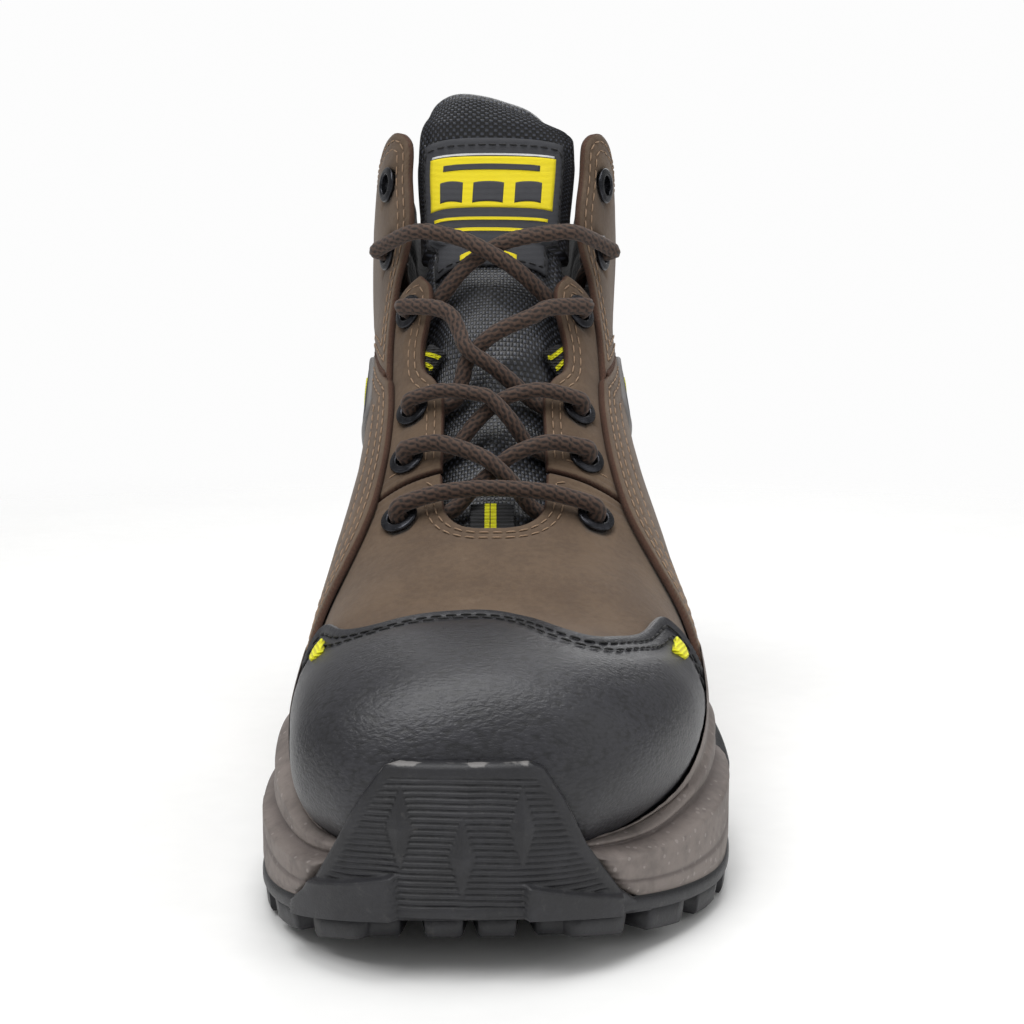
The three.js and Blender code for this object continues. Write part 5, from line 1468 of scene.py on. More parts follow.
# ---------- eyelets ----------
def build_eyelets():
    outer = bpy.context.scene.boot_sizes.eyelet_width / MM / 2
    for name in ("medial", "lateral"):
        for row in range(6):
            point, normal, seat, foot = eyelet_frame(row, name)
            low, high = foot - BARREL_FOOT, seat + GAP
            profile = [(EYELET_HOLE, low + 0.35), (EYELET_HOLE + 0.5, low), (EYELET_REAR - 0.4, low + 0.1),
                       (EYELET_REAR, low + 0.4), (EYELET_REAR - 0.2, foot - 0.1),
                       (EYELET_BARREL, foot - 0.05), (EYELET_BARREL, high - 0.3),
                       (outer - 0.3, high - 0.25), (outer, high)]
            profile += [(outer - 0.55 + 0.62 * math.cos(q), high + 0.35 + 0.6 * math.sin(q))
                        for q in np.linspace(-0.3, 1.5, 6)]
            profile += [(3.9, high + 1.12), (3.45, high + 1.18)]
            profile += [(3.35 - 0.52 * math.sin(q), high + 0.6 + 0.55 * math.cos(q))
                        for q in np.linspace(0.2, 1.6, 5)]
            profile += [(EYELET_HOLE, high - 0.6)]
            profile = np.array(profile)
            e1 = unit(np.cross(normal, [0.2, 0.9, 0.3]))
            e2 = np.cross(normal, e1)
            q = np.linspace(0, 2 * np.pi, 49)[:-1]
            radial = np.cos(q)[:, None] * e1 + np.sin(q)[:, None] * e2
            points = (point + radial[:, None] * profile[None, :, :1] + normal * profile[None, :, 1:])
            flat = points.reshape(-1, 3)
            faces = grid_faces(48, len(profile), ring=True, tube=True)
            piece(f"ring_{name}_{row + 1}", flat, facing_out(flat, faces), MATERIALS["eyelet"],
                  replaces=[f"eyelet_{name}_{row + 1}"], slot="eyelet")


def build_pull_loop():
    """The heel loop: folded webbing that stands on the backstay."""
    lo, hi = [np.array(c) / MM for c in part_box("heel_pull_loop")]
    y0, y1, z0, z1 = lo[1] + 0.85, hi[1] - 0.85, lo[2] + 0.3, hi[2] - 0.85
    r = (y1 - y0) / 2
    leg = np.linspace(z0, z1 - r, 26)[:-1]
    q = np.linspace(np.pi, 0, 26)
    down = leg[::-1][:-1]
    pinch = np.clip((z0 + 8 - down) / 8, 0, 1)
    sewn_in = (y1 - y0 - 1.65) * pinch * pinch * (3 - 2 * pinch)
    line = np.concatenate([
        np.stack([np.full(len(leg), y0), leg], -1),
        np.stack([(y0 + y1) / 2 + r * np.cos(q), z1 - r + r * np.sin(q)], -1),
        np.stack([y1 - sewn_in, down], -1)])
    middle = np.concatenate([np.zeros((len(line), 1)), line], 1)
    t = np.gradient(middle, axis=0)
    up = np.cross([1.0, 0, 0], t)
    obj = ribbon("pull_loop_webbing", middle, up, hi[0] - lo[0], 1.5, "webbing", body="pull_loop",
                 ribs=11, replaces=["heel_pull_loop"], slot="webbing")
    edge = np.stack([np.full(30, 0.0), np.full(30, y1 + 0.8), np.linspace(z0 + 8.5, z1 - r, 30)], -1)
    ribbon("pull_loop_stripe", edge, np.tile([0, 1.0, 0], (30, 1)), 2.6, 0.4, "accent",
           body="pull_loop", ribs=2)
    return obj


# ---------- sole ----------
OUTLINE = np.array([
    (-152, -8, -8), (-150.3, -22, 7), (-143, -35.5, 22), (-128, -47, 37.5), (-108, -54, 49.5),
    (-85, -56, 55), (-60, -53.5, 56), (-30, -46.5, 53), (5, -41, 48), (45, -40, 45.5),
    (85, -41.5, 45.5), (115, -41, 44), (135, -35.5, 38), (146.5, -24, 26), (151.3, -11, 13),
    (152, 1, 1)], float)
TREAD_RISE = curve_of([(-152, 8.5), (-135, 4), (-115, 1), (-98, 0), (150, 0)])
WALL = curve_of([(0, 1.2), (0.18, 0.2), (0.38, 0.6), (0.6, 2.6), (0.8, 5.2), (1, 7.6)])
BUMPER_VIEW = np.array([(-50, -2), (-49, 6), (-42, 15), (-36, 27), (-31, 37), (-26, 44), (-23, 45),
                        (5, 45), (8.5, 43.5), (12.5, 37), (17, 27), (24.5, 15.5), (35, 6), (37, -2)],
                       float)
SUPPORT_SPAN = {"medial": (5.9, 7.9), "lateral": (5.7, 7.9)}


def sole_loop(count=560):
    """The outline as a closed loop from the toe down the lateral side and back: points, inward normals."""
    t = np.linspace(0, len(OUTLINE) - 1, 900)
    y, m, l = along(OUTLINE, t).T
    loop = np.concatenate([np.stack([l, y], -1), np.stack([m, y], -1)[::-1][1:-1]])
    closed = np.vstack([loop, loop[:1]])
    total = np.concatenate([[0], np.cumsum(np.linalg.norm(np.diff(closed, axis=0), axis=1))])
    at = np.linspace(0, total[-1], count + 1)[:-1]
    p = np.stack([np.interp(at, total, closed[:, k]) for k in (0, 1)], -1)
    for _ in range(6):
        p = 0.5 * p + 0.25 * (np.roll(p, 1, 0) + np.roll(p, -1, 0))
    t = np.roll(p, -3, 0) - np.roll(p, 3, 0)
    t /= np.linalg.norm(t, axis=1, keepdims=True)
    return p, np.stack([-t[:, 1], t[:, 0]], -1), at, total[-1]


def upper_shape(offset):
    """The upper's outside at an offset, to lay the sole against."""
    gs, ga = np.meshgrid(np.linspace(0.1, 18, 120), np.arange(-180, 180, 3), indexing="ij")
    p = skin(gs, ga, np.full(gs.shape, offset)).reshape(-1, 3)
    faces = grid_faces(120, 120, ring=True)
    return BVHTree.FromPolygons([Vector(q) for q in p], faces), p


def pushed_out(tree, points, clearance):
    """Points moved outwards until they clear a surface. Returns them and the nearest places."""
    out, near = points.copy(), points.copy()
    for k, p in enumerate(points):
        place, normal, _, _ = tree.find_nearest(Vector(p))
        normal = np.array(normal)
        place = np.array(place)
        if np.dot(normal, place - [0, place[1], 60]) < 0:
            normal = -normal
        if np.dot(p - place, normal) < clearance:
            out[k] = place + normal * clearance
        near[k] = place + normal * 0.12
    return out, near


def in_bumper(x, z, grow=0.0):
    """How far a front-view point lies inside the bumper's outline, in millimetres."""
    view = BUMPER_VIEW
    left, right = view[:7], view[7:][::-1]
    lo = np.interp(z, left[:, 1], left[:, 0]) - grow
    hi = np.interp(z, right[:, 1], right[:, 0]) + grow
    return np.minimum(np.minimum(x - lo, hi - x), BUMPER_TOP + grow - z)


def build_midsole():
    """The cup: a moulded wall with flowing folds, closed over by a lip against the upper."""
    p, inward, at, total = sole_loop()
    shares = np.linspace(0, 1, 56)
    arc = np.minimum(at, total - at)
    lateral = (at < total / 2)
    flow = arc / 34.0 + np.where(lateral, 0.0, 1.3)
    folds = (
        (0.78 + 0.05 * np.sin(flow * 1.0), 1.5), (0.52 + 0.13 * np.sin(flow * 0.9 + 0.9), 1.9),
        (0.24 + 0.09 * np.sin(flow * 1.2 + 2.4), 1.5))
    floor = TREAD_RISE(p[:, 1]) + LUG + OUTSOLE_WEB + GAP
    top = WALL_TOP(p[:, 1])
    rows, tone = [], []
    for h in shares:
        z = floor + (top - floor) * h
        # crease falls to 0 on each fold line; stored as the 'edge' attribute, it paints shade into the folds
        inset = np.full(len(p), float(WALL(h)))
        crease = np.ones(len(p))
        for line, depth in folds:
            u = (h - line) / 0.06
            inset = inset + depth * (1 / (1 + np.exp(-u * 3.5)) - 0.5) - 0.8 * depth * np.exp(-(u + 1.5) ** 2)
            inset = inset + 0.9 * depth * np.exp(-((u - 0.5) / 0.8) ** 2)
            crease = np.minimum(crease, 1 - np.exp(-((u - 0.5) / 0.6) ** 2))
        inset = np.maximum(inset, 0.05)
        front = np.clip(in_bumper(p[:, 0], z, 0.6) / 0.8, 0, 1) * (p[:, 1] < -98)
        inset = inset + 4.4 * front
        edge = 0.5 * np.exp(-((h - 0.02) / 0.03) ** 2)
        xy = p + inward * (inset + edge)[:, None]
        rows.append(np.stack([xy[:, 0], xy[:, 1], z], -1))
        tone.append(crease)
    tree, _ = upper_shape(ON_TOP - 0.05)
    for k in range(28, len(rows)):
        rows[k], _ = pushed_out(tree, rows[k], 0.25)
    _, near = pushed_out(tree, rows[-1] + [0, 0, 0.5], 0.1)
    bottom_in = near - [0, 0, 5]
    rows += [near * 0.5 + rows[-1] * 0.5 + [0, 0, 0.35], near + [0, 0, -0.3]]
    _, deep = pushed_out(tree, bottom_in, 0.1)
    rows.append(deep)
    floor_in = np.concatenate([p + inward * 14, floor[:, None] + 3], 1)
    rows.append(floor_in)
    tone += [np.ones(len(p))] * 4
    points, faces = hubbed(np.array(rows), 8.5, 12.0)
    piece("midsole_cup", points, faces, MATERIALS["foam"], replaces=["midsole"],
          slot="foam", facts={"edge": np.concatenate([np.array(tone).ravel(), [1, 1]])})


def build_outsole():
    p, inward, at, total = sole_loop()
    rise = TREAD_RISE(p[:, 1])
    levels = ((3.0, LUG + 0.2), (0.9, LUG), (0.2, LUG + 0.5), (-0.15, LUG + 1.2), (-0.15, LUG + 2.4),
              (0.3, LUG + 3.2), (1.4, LUG + OUTSOLE_WEB))
    grid = np.array([np.concatenate([p + inward * i, (rise + h)[:, None]], 1) for i, h in levels])
    points, faces = hubbed(grid, LUG + 0.2, LUG + OUTSOLE_WEB)
    piece("outsole_base", points, faces, MATERIALS["rubber"],
          replaces=["outsole"], slot="rubber", facts={"edge": np.full(len(points), 9.0)})
    solids, solid_faces = [], []

    def block(top, bottom):
        """A bevelled lug between two rings of plan points with heights."""
        start = len(solids)
        count = len(top)
        centre = bottom.mean(0)
        rings = [top, bottom + [0, 0, 0.9], centre + (bottom - centre) * [0.93, 0.93, 1]]
        for ring in rings:
            solids.extend(ring)
        local = grid_faces(3, count, ring=True)
        local += [tuple(range(count))[::-1], tuple(range(2 * count, 3 * count))]
        local = facing_out(np.concatenate(rings), local)
        solid_faces.extend([tuple(start + i for i in f) for f in local])

    def lug(corners, shrink):
        """A lug with a plan of four corners, whose foot is a little smaller than its root."""
        fine = np.concatenate([np.linspace(a, b, 5)[:-1] for a, b in zip(corners, np.roll(corners, -1, 0))])
        height, middle = TREAD_RISE(fine[:, 1]), fine.mean(0)
        block(np.column_stack([fine, height + LUG + LUG_ROOT]),
              np.column_stack([middle + (fine - middle) * shrink, height]))
    pitch = 20.0
    count = int(total // pitch)
    for k in range(count):
        centre = (k + 0.5) * total / count
        if abs(centre - total / 2) > total / 2 - 26:
            continue
        lo, hi = centre - 6.9, centre + 6.9
        skew = 3.0 if centre < total / 2 else -3.0
        inner = 21.0 if k % 2 else 15.0
        ring = []
        for depth, off in ((0.3, 0), (inner, skew)):
            steps = np.linspace(lo + off + (1.5 if depth > 5 else 0), hi + off - (1.5 if depth > 5 else 0), 7)
            index = (steps / total * len(p)).astype(int) % len(p)
            row = p[index] + inward[index] * depth
            ring += row.tolist() if depth < 5 else row[::-1].tolist()
        ring = np.array(ring)
        rise_here = TREAD_RISE(ring[:, 1])
        middle = ring.mean(0)
        wide = np.column_stack([ring, rise_here + LUG + LUG_ROOT])
        small = np.column_stack([middle + (ring - middle) * 0.94, rise_here])
        block(wide, small)
    y = -112.0
    while y < 132:
        for k in (-1, 1):
            lug(np.array([(k * 2 - 2, y + 5), (k * 19 - 2, y - 3), (k * 19 - 2, y + 8),
                          (k * 2 - 2, y + 16)]), 0.92)
        y += 21
    for x in (-26, -13, -2, 10):
        ring = np.array([(x - 4, -146), (x + 4, -146.5), (x + 5.5, -122), (x - 5.5, -122)])
        ring[:, 1] += 0.012 * (x + 8) ** 2
        lug(ring, 0.92)
    points = np.array(solids)
    piece("outsole_lugs", points, solid_faces, MATERIALS["rubber"], slot="rubber",
          facts={"edge": np.full(len(points), 9.0)})


def build_bumper():
    """The rubber that wraps up the toe, with fine moulded ridges and three long lozenges."""
    t = np.linspace(0, 7, 500)
    y, m, l = along(OUTLINE, t).T
    xs = np.concatenate([m[::-1], l[1:]])
    ys = np.concatenate([y[::-1], y[1:]])
    left, right = BUMPER_VIEW[:7], BUMPER_VIEW[7:][::-1]
    gw, gv = np.meshgrid(np.linspace(0, 1, 150), np.linspace(0, 1, 130), indexing="ij")
    gz = 12.0 + 33.0 * gw
    for _ in range(6):
        lo = np.interp(gz, left[:, 1], left[:, 0])
        hi = np.interp(gz, right[:, 1], right[:, 0])
        x = lo + (hi - lo) * gv
        y = np.interp(x, xs, ys)
        low = TREAD_RISE(y) + LUG + 0.4
        gz = low + (BUMPER_TOP - low) * gw
    slope = np.interp(x + 0.5, xs, ys) - np.interp(x - 0.5, xs, ys)
    n = unit(np.stack([slope, -np.ones_like(slope), np.zeros_like(slope)], -1))
    inset = np.interp(gz, [0, 20, 34, 49], [0, 0, 0.6, 2.6])
    edge = np.minimum(np.minimum((x - lo) * 0.9, (hi - x) * 0.9), BUMPER_TOP - gz)
    wedges = np.zeros_like(x)
    for xa, za, xb, zb in ((-45, 16.5, -22.4, 22.6), (3.4, 20.6, 24, 15.0)):
        brow = za + (zb - za) * (x - xa) / (xb - xa)
        wedges = np.maximum(wedges, np.clip(np.minimum(np.minimum(x - xa, xb - x), brow - gz) / 0.6, 0, 1))
    wavy = gz + 0.5 * np.sin(x / 9.0) + 0.3 * noise(np.stack([x, y * 0, gz], -1), 8)
    ridge = np.abs(np.sin(wavy / 1.3 * math.pi)) ** 0.7
    lozenge = np.zeros_like(x)
    for cx, cz, half_w, half_h in ((-21.9, 32.0, 2.8, 9.0), (3.1, 31.8, 2.8, 9.0), (-9.2, 26.2, 2.8, 8.6)):
        inside = 1 - np.abs(x - cx) / half_w - np.abs(gz - cz) / half_h
        lozenge = np.maximum(lozenge, np.clip(inside, 0, 1))
    margin = np.clip((edge - 2.2) / 1.2, 0, 1)
    margin = margin * (1 - wedges)
    depth = -0.6 * (1 - ridge) * margin * (lozenge < 0.02) + 1.3 * lozenge + 1.7 * wedges
    rim = -1.3 * (1 - np.sqrt(np.clip(1 - (1 - np.clip(edge / 1.4, 0, 1)) ** 2, 0, 1)))
    base = np.stack([x, y, gz], -1)
    front = base + n * (depth + rim - inset + 0.1)[..., None]
    back = base - n * (np.full(x.shape, 5.2) + inset)[..., None]
    tree, _ = upper_shape(ON_TOP + 0.1)
    flat, _ = pushed_out(tree, back.reshape(-1, 3), 0.1)
    back = np.where((gz > 22)[..., None], flat.reshape(back.shape), back)
    points, faces = closed_grid(front, back)
    rubbed = noise(base, 5.0) + 0.6 * noise(base, 1.6)
    worn = 2.2 * np.minimum(BUMPER_TOP - gz, edge * 2.5) + 2.2 * np.clip(0.45 - rubbed, 0, 1)
    piece("toe_bumper", points, faces, MATERIALS["rubber"], slot="rubber",
          facts={"edge": np.concatenate([worn.ravel(), np.full(x.size, 9.0)])})


def build_supports():
    for name in ("medial", "lateral"):
        t0, t1 = SUPPORT_SPAN[name]
        u = np.linspace(0, 1, 60)
        v = np.linspace(0, 1, 24)
        gu, gv = np.meshgrid(u, v, indexing="ij")
        tall = 0.5 * np.sin(np.pi * (0.12 + 0.76 * gu))
        share = 0.1 + tall * gv
        t = t0 + (t1 - t0) * gu

        def at(t):
            y, m, l = np.moveaxis(along(OUTLINE, t), -1, 0)
            return np.stack([l if name == "lateral" else m, y], -1)
        way = unit(at(t + 0.02) - at(t - 0.02))
        k = side(name)
        inwards = np.stack([-way[..., 1] * k, way[..., 0] * k], -1)
        p = at(t)
        floor = TREAD_RISE(p[..., 1]) + LUG + OUTSOLE_WEB + GAP
        z = floor + (WALL_TOP(p[..., 1]) - floor) * share
        rim = np.minimum(np.minimum(gu, 1 - gu) * 28, np.minimum(gv, 1 - gv) * 12)
        dome = np.sqrt(np.clip(1 - (1 - np.clip(rim / 2.0, 0, 1)) ** 2, 0, 1))
        groove = sum(np.exp(-((gv - c) / 0.05) ** 2) for c in (0.36, 0.66)) * np.clip(rim / 3, 0, 1)
        proud = 2.4 * dome - 0.7 * groove

        def face(d):
            xy = p + inwards * (WALL(share) - d)[..., None]
            return np.concatenate([xy, z[..., None]], -1)
        points, faces = closed_grid(face(proud), face(np.full(z.shape, -2.2)))
        piece("shank_support_" + name, points, faces, MATERIALS["support"],
              replaces=["midsole_support_" + name], slot="rubber",
              facts={"edge": np.full(len(points), 9.0)})


# ---------- inside ----------
def build_footbed():
    """The removable footbed in its two halves: a fabric top that dishes at the heel."""
    s = np.arange(1.2, 13, 0.2)
    floor = skin(s, np.full(len(s), 180.0), np.full(len(s), LINING_FACE - GAP))
    order = np.argsort(floor[:, 1])
    floor = floor[order]
    halves_of_it = (("footbed_front", "footbed_forepart", -131.5, FOOTBED_FOLD - 0.2, "boot"),
                    ("footbed_back", "footbed_heel", FOOTBED_FOLD + 0.2, 130.5, "footbed_rear"))
    for name, node, y0, y1, body in halves_of_it:
        y = np.linspace(y0, y1, 70)
        v = np.linspace(-1, 1, 50)
        gs, ga = np.meshgrid(np.linspace(0.4, 13.6, 200), np.arange(90, 271, 3.0), indexing="ij")
        cavity = skin(gs, ga, np.full(gs.shape, LINING_FACE - GAP - 0.3)).reshape(-1, 3)
        tops, halves = [], []
        for one in y:
            low = np.interp(one, floor[:, 1], floor[:, 2])
            top = low + FOOTBED
            near = cavity[(np.abs(cavity[:, 1] - one) < 2.2) & (np.abs(cavity[:, 2] - top) < 2.5)]
            lo = near[near[:, 0] < 0][:, 0].max() if (near[:, 0] < 0).any() else -6
            hi = near[near[:, 0] > 0][:, 0].min() if (near[:, 0] > 0).any() else 4
            tops.append((top, low))
            halves.append((lo, hi))
        tops, halves = np.array(tops), np.array(halves)
        for _ in range(4):
            halves[1:-1] = (halves[:-2] + halves[1:-1] * 2 + halves[2:]) / 4
        gx = (halves[:, :1] + halves[:, 1:]) / 2 + (halves[:, 1:] - halves[:, :1]) / 2 * v[None]
        gy = np.repeat(y[:, None], len(v), 1)
        rim = np.clip((1 - np.abs(v)) / 0.06, 0, 1)
        z = tops[:, :1] + 0.25 * noise(np.stack([gx, gy, gx * 0], -1), 14) - 0.9 * (1 - rim)[None] - 0.5
        bottom = tops[:, 1:] + 0.5 + 2.4 * np.abs(v)[None] ** 6
        points, faces = closed_grid(np.stack([gx, gy, z], -1),
                                    np.stack([gx, gy, np.minimum(bottom, z - 0.8)], -1))
        uv = np.stack([gx, gy], -1).reshape(-1, 2)
        piece(name, points, faces, MATERIALS["footbed"], body, replaces=[node], slot="footbed",
              uv=np.concatenate([uv, uv]))


def build_hidden():
    """The pieces held inside keep their own shape and get their materials."""
    for node, finish in (("steel_toe_cap", "steel"), ("toe_cap_bead", "rubber"), ("insole_board", "board"),
                         ("steel_shank", "steel"), ("heel_counter", "counter")):
        for slot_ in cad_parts[node].material_slots:
            slot_.material = MATERIALS[finish]


# ---------- stage ----------
def build_stage(size, lamp_size):
    half = size / 2
    n = 24
    x = np.linspace(-half, half, n)
    gx, gy = np.meshgrid(x, x, indexing="ij")
    gz = -0.0005 + 0.00002 * np.sin(gx * 9) * np.cos(gy * 7) - 0.00003
    mesh = bpy.data.meshes.new("ground")
    mesh.from_pydata(np.stack([gx, gy, gz], -1).reshape(-1, 3).tolist(), [], grid_faces(n, n, flip=True))
    mesh.materials.append(MATERIALS["floor"])
    mesh.shade_smooth()
    ground = bpy.data.objects.new("ground", mesh)
    bpy.context.collection.objects.link(ground)
    lamps = (("key", (-0.5, -0.7, 1.3), 9.5, 0.7), ("top", (0.05, -0.15, 1.5), 10.0, 0.8),
             ("fill", (0.95, -0.6, 0.6), 2.5, 1.0), ("back", (0.2, 1.2, 0.9), 6.0, 1.0))
    for name, place, power, size_m in lamps:
        light = bpy.data.lights.new(name, "AREA")
        light.energy = power
        light.size = size_m * lamp_size
        lamp = bpy.data.objects.new(name, light)
        lamp.location = place
        lamp.rotation_euler = (Vector((0, 0, 0.09)) - Vector(place)).to_track_quat("-Z", "Y").to_euler()
        bpy.context.collection.objects.link(lamp)
    world = bpy.data.worlds.new("studio")
    world.use_nodes = True
    n = Nodes(world.node_tree)
    backdrop = world.node_tree.nodes["Background"]
    backdrop.inputs[0].default_value = (1, 1, 1, 1)
    seen = n("LightPath").outputs["Is Camera Ray"]
    world.node_tree.links.new(
        n("MapRange", {"Value": seen, "To Min": 0.38, "To Max": 0.98}).outputs[0], backdrop.inputs[1])
    bpy.context.scene.world = world
    bpy.context.scene.view_settings.view_transform = "Standard"


def make_camera():
    data = bpy.data.cameras.new("camera")
    data.lens = CAMERA_LENS
    data.sensor_width = 36
    camera = bpy.data.objects.new("camera", data)
    camera.location = np.array(CAMERA_AT) * MM
    camera.rotation_euler = (math.radians(90 - CAMERA_PITCH), 0, math.radians(-CAMERA_YAW))
    bpy.context.collection.objects.link(camera)
    bpy.context.scene.camera = camera


# ---------- settings ----------
def display_colour(name, description, r, g, b):
    """A colour setting whose default is given in 0 to 255 display values."""
    return bpy.props.FloatVectorProperty(
        name=name, description=description, subtype="COLOR_GAMMA", size=3, min=0, max=1,
        default=(r / 255, g / 255, b / 255))


class BootColours(bpy.types.PropertyGroup):
    """Colours of the boot's finishes."""
    leather_light: display_colour("Nubuck, light", "High spots of the nubuck upper", 96, 77, 58)
    leather_dark: display_colour("Nubuck, dark", "Darker cloud of the nubuck upper", 83, 65, 48)
    toe_leather: display_colour("Toe cover", "Smooth leather over the toe", 43, 43, 48)
    rubber: display_colour("Rubber", "Outsole and toe bumper", 37, 37, 41)
    midsole: display_colour("Midsole", "Moulded foam of the midsole", 127, 118, 113)
    lace: display_colour("Lace", "Top of the braided lace", 84, 63, 51)
    accent: display_colour("Accent", "Bright marks and webbing stripes", 238, 240, 16)


class BootSizes(bpy.types.PropertyGroup):
    """Sizes of the small work and of the stage."""
    stitch_pitch: bpy.props.FloatProperty(
        name="Stitch pitch", description="Distance from one stitch to the next",
        default=3.4 * MM, min=1.5 * MM, unit="LENGTH", precision=4)
    thread_width: bpy.props.FloatProperty(
        name="Thread width", description="Width of the sewing thread",
        default=0.42 * MM, min=0.2 * MM, unit="LENGTH", precision=5)
    eyelet_width: bpy.props.FloatProperty(
        name="Eyelet width", description="Outside width of an eyelet's ring",
        default=10.0 * MM, min=8.6 * MM, max=11.0 * MM, unit="LENGTH", precision=4)
    braid_width: bpy.props.FloatProperty(
        name="Lace width", description="Width of the braided lace across its flat side",
        default=4.7 * MM, min=3.0 * MM, max=5.2 * MM, unit="LENGTH", precision=4)
    floor_size: bpy.props.FloatProperty(
        name="Floor size", description="Side of the pale floor", default=6.0, min=1.0, unit="LENGTH")
    lamp_size: bpy.props.FloatProperty(
        name="Lamp size", description="Scale of the soft lamps, which sets how soft the shadows are",
        default=1.0, min=0.2, max=3.0)


# ---------- operators ----------
class BOOT_OT_finishes(bpy.types.Operator):
    """Make the materials that the pieces share"""
    bl_idname = "boot.finishes"
    bl_label = "Finishes"

    def execute(self, context):
        make_groups()
        make_materials()
        return {"FINISHED"}


class BOOT_OT_camera(bpy.types.Operator):
    """Place the camera"""
    bl_idname = "boot.camera"
    bl_label = "Camera"

    def execute(self, context):
        make_camera()
        return {"FINISHED"}


class BOOT_OT_loose_ends(bpy.types.Operator):
    """Build the two loose ends of the lace and their tips"""
    bl_idname = "boot.loose_ends"
    bl_label = "Loose lace ends"

    def execute(self, context):
        build_tails()
        return {"FINISHED"}


class BOOT_OT_lace(bpy.types.Operator):
    """Build the braided lace"""
    bl_idname = "boot.lace"
    bl_label = "Lace"

    def execute(self, context):
        build_lace()
        return {"FINISHED"}


class BOOT_OT_linings(bpy.types.Operator):
    """Build the forepart and rear linings"""
    bl_idname = "boot.linings"
    bl_label = "Linings"

    def execute(self, context):
        build_linings()
        return {"FINISHED"}


class BOOT_OT_collar(bpy.types.Operator):
    """Build the padded collar"""
    bl_idname = "boot.collar"
    bl_label = "Padded collar"

    def execute(self, context):
        build_collar()
        return {"FINISHED"}


class BOOT_OT_tongue(bpy.types.Operator):
    """Build the padded tongue"""
    bl_idname = "boot.tongue"
    bl_label = "Tongue"

    def execute(self, context):
        build_tongue()
        return {"FINISHED"}


class BOOT_OT_label(bpy.types.Operator):
    """Build the woven label and its marks"""
    bl_idname = "boot.label"
    bl_label = "Tongue label"

    def execute(self, context):
        build_label()
        return {"FINISHED"}


class BOOT_OT_keeper(bpy.types.Operator):
    """Build the webbing at the foot of the throat"""
    bl_idname = "boot.keeper"
    bl_label = "Lace keeper"

    def execute(self, context):
        build_keeper()
        return {"FINISHED"}


class BOOT_OT_lace_loops(bpy.types.Operator):
    """Build the webbing loops in the eyestays"""
    bl_idname = "boot.lace_loops"
    bl_label = "Lace loops"

    def execute(self, context):
        build_lace_loops()
        return {"FINISHED"}


class BOOT_OT_vamp(bpy.types.Operator):
    """Build the vamp and its stitching"""
    bl_idname = "boot.vamp"
    bl_label = "Vamp"

    def execute(self, context):
        build_vamp()
        return {"FINISHED"}


class BOOT_OT_cover(bpy.types.Operator):
    """Build the toe cover and its stitching"""
    bl_idname = "boot.cover"
    bl_label = "Toe cover"

    def execute(self, context):
        build_cover()
        return {"FINISHED"}


class BOOT_OT_eyestays(bpy.types.Operator):
    """Build the eyestays"""
    bl_idname = "boot.eyestays"
    bl_label = "Eyestays"

    def execute(self, context):
        build_eyestays()
        return {"FINISHED"}


class BOOT_OT_quarters(bpy.types.Operator):
    """Build the quarters"""
    bl_idname = "boot.quarters"
    bl_label = "Quarters"

    def execute(self, context):
        build_quarters()
        return {"FINISHED"}


class BOOT_OT_collar_panels(bpy.types.Operator):
    """Build the collar panels with their tabs"""
    bl_idname = "boot.collar_panels"
    bl_label = "Collar panels"

    def execute(self, context):
        build_collar_panels()
        return {"FINISHED"}


class BOOT_OT_backstay(bpy.types.Operator):
    """Build the backstay"""
    bl_idname = "boot.backstay"
    bl_label = "Backstay"

    def execute(self, context):
        build_backstay()
        return {"FINISHED"}


class BOOT_OT_trim(bpy.types.Operator):
    """Build the toe marks and side badges"""
    bl_idname = "boot.trim"
    bl_label = "Trim"

    def execute(self, context):
        build_trim()
        return {"FINISHED"}


class BOOT_OT_eyelets(bpy.types.Operator):
    """Build the twelve eyelets"""
    bl_idname = "boot.eyelets"
    bl_label = "Eyelets"

    def execute(self, context):
        build_eyelets()
        return {"FINISHED"}


class BOOT_OT_pull_loop(bpy.types.Operator):
    """Build the heel's pull loop"""
    bl_idname = "boot.pull_loop"
    bl_label = "Pull loop"

    def execute(self, context):
        build_pull_loop()
        return {"FINISHED"}


class BOOT_OT_midsole(bpy.types.Operator):
    """Build the sculpted midsole"""
    bl_idname = "boot.midsole"
    bl_label = "Midsole"

    def execute(self, context):
        build_midsole()
        return {"FINISHED"}


class BOOT_OT_outsole(bpy.types.Operator):
    """Build the outsole and its lugs"""
    bl_idname = "boot.outsole"
    bl_label = "Outsole"

    def execute(self, context):
        build_outsole()
        return {"FINISHED"}


class BOOT_OT_bumper(bpy.types.Operator):
    """Build the ridged toe bumper"""
    bl_idname = "boot.bumper"
    bl_label = "Toe bumper"

    def execute(self, context):
        build_bumper()
        return {"FINISHED"}


class BOOT_OT_supports(bpy.types.Operator):
    """Build the moulded supports at the waist"""
    bl_idname = "boot.supports"
    bl_label = "Supports"

    def execute(self, context):
        build_supports()
        return {"FINISHED"}


class BOOT_OT_footbed(bpy.types.Operator):
    """Build the two halves of the footbed"""
    bl_idname = "boot.footbed"
    bl_label = "Footbed"

    def execute(self, context):
        build_footbed()
        return {"FINISHED"}


class BOOT_OT_hidden(bpy.types.Operator):
    """Give the hidden stiff pieces their materials"""
    bl_idname = "boot.hidden"
    bl_label = "Inner pieces"

    def execute(self, context):
        build_hidden()
        return {"FINISHED"}


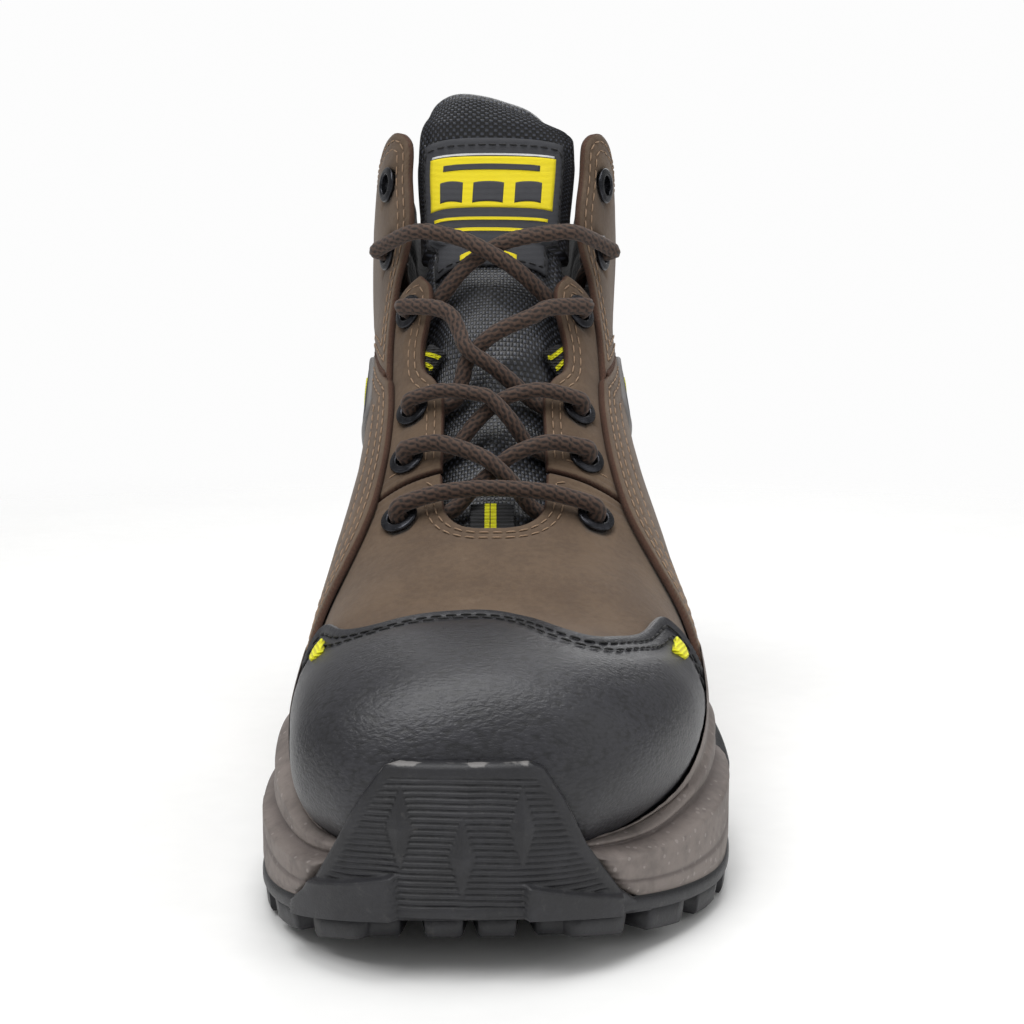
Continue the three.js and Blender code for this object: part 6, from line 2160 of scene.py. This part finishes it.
class BOOT_OT_stage(bpy.types.Operator):
    """Build the floor, the lamps and the backdrop"""
    bl_idname = "boot.stage"
    bl_label = "Stage"

    def execute(self, context):
        sizes = context.scene.boot_sizes
        build_stage(sizes.floor_size, sizes.lamp_size)
        return {"FINISHED"}


OPERATORS = (
    BOOT_OT_finishes, BOOT_OT_camera, BOOT_OT_loose_ends, BOOT_OT_lace, BOOT_OT_linings, BOOT_OT_collar,
    BOOT_OT_tongue, BOOT_OT_label, BOOT_OT_keeper, BOOT_OT_lace_loops, BOOT_OT_vamp, BOOT_OT_cover,
    BOOT_OT_eyestays, BOOT_OT_quarters, BOOT_OT_collar_panels, BOOT_OT_backstay, BOOT_OT_trim,
    BOOT_OT_eyelets, BOOT_OT_pull_loop, BOOT_OT_midsole, BOOT_OT_outsole, BOOT_OT_bumper, BOOT_OT_supports,
    BOOT_OT_footbed, BOOT_OT_hidden, BOOT_OT_stage,
)


class BOOT_PT_sidebar(bpy.types.Panel):
    """Lists the boot's settings and the steps that build it."""
    bl_idname = "BOOT_PT_sidebar"
    bl_label = "Steel Toe Work Boot"
    bl_space_type = "VIEW_3D"
    bl_region_type = "UI"
    bl_category = "Boot"

    def draw(self, context):
        for group in (context.scene.boot_sizes, context.scene.boot_colours):
            box = self.layout.box()
            for name in group.bl_rna.properties.keys():
                if name not in ("rna_type", "name"):
                    box.prop(group, name)
        for step in OPERATORS:
            self.layout.operator(step.bl_idname)


CLASSES = (BootColours, BootSizes, *OPERATORS, BOOT_PT_sidebar)


def register():
    for cls in CLASSES:
        bpy.utils.register_class(cls)
    bpy.types.Scene.boot_colours = bpy.props.PointerProperty(type=BootColours)
    bpy.types.Scene.boot_sizes = bpy.props.PointerProperty(type=BootSizes)


def unregister():
    del bpy.types.Scene.boot_sizes
    del bpy.types.Scene.boot_colours
    for cls in reversed(CLASSES):
        bpy.utils.unregister_class(cls)


def main():
    register()
    for step in OPERATORS:
        getattr(bpy.ops.boot, step.bl_idname.split(".")[1])()


if __name__ == "__main__":
    main()
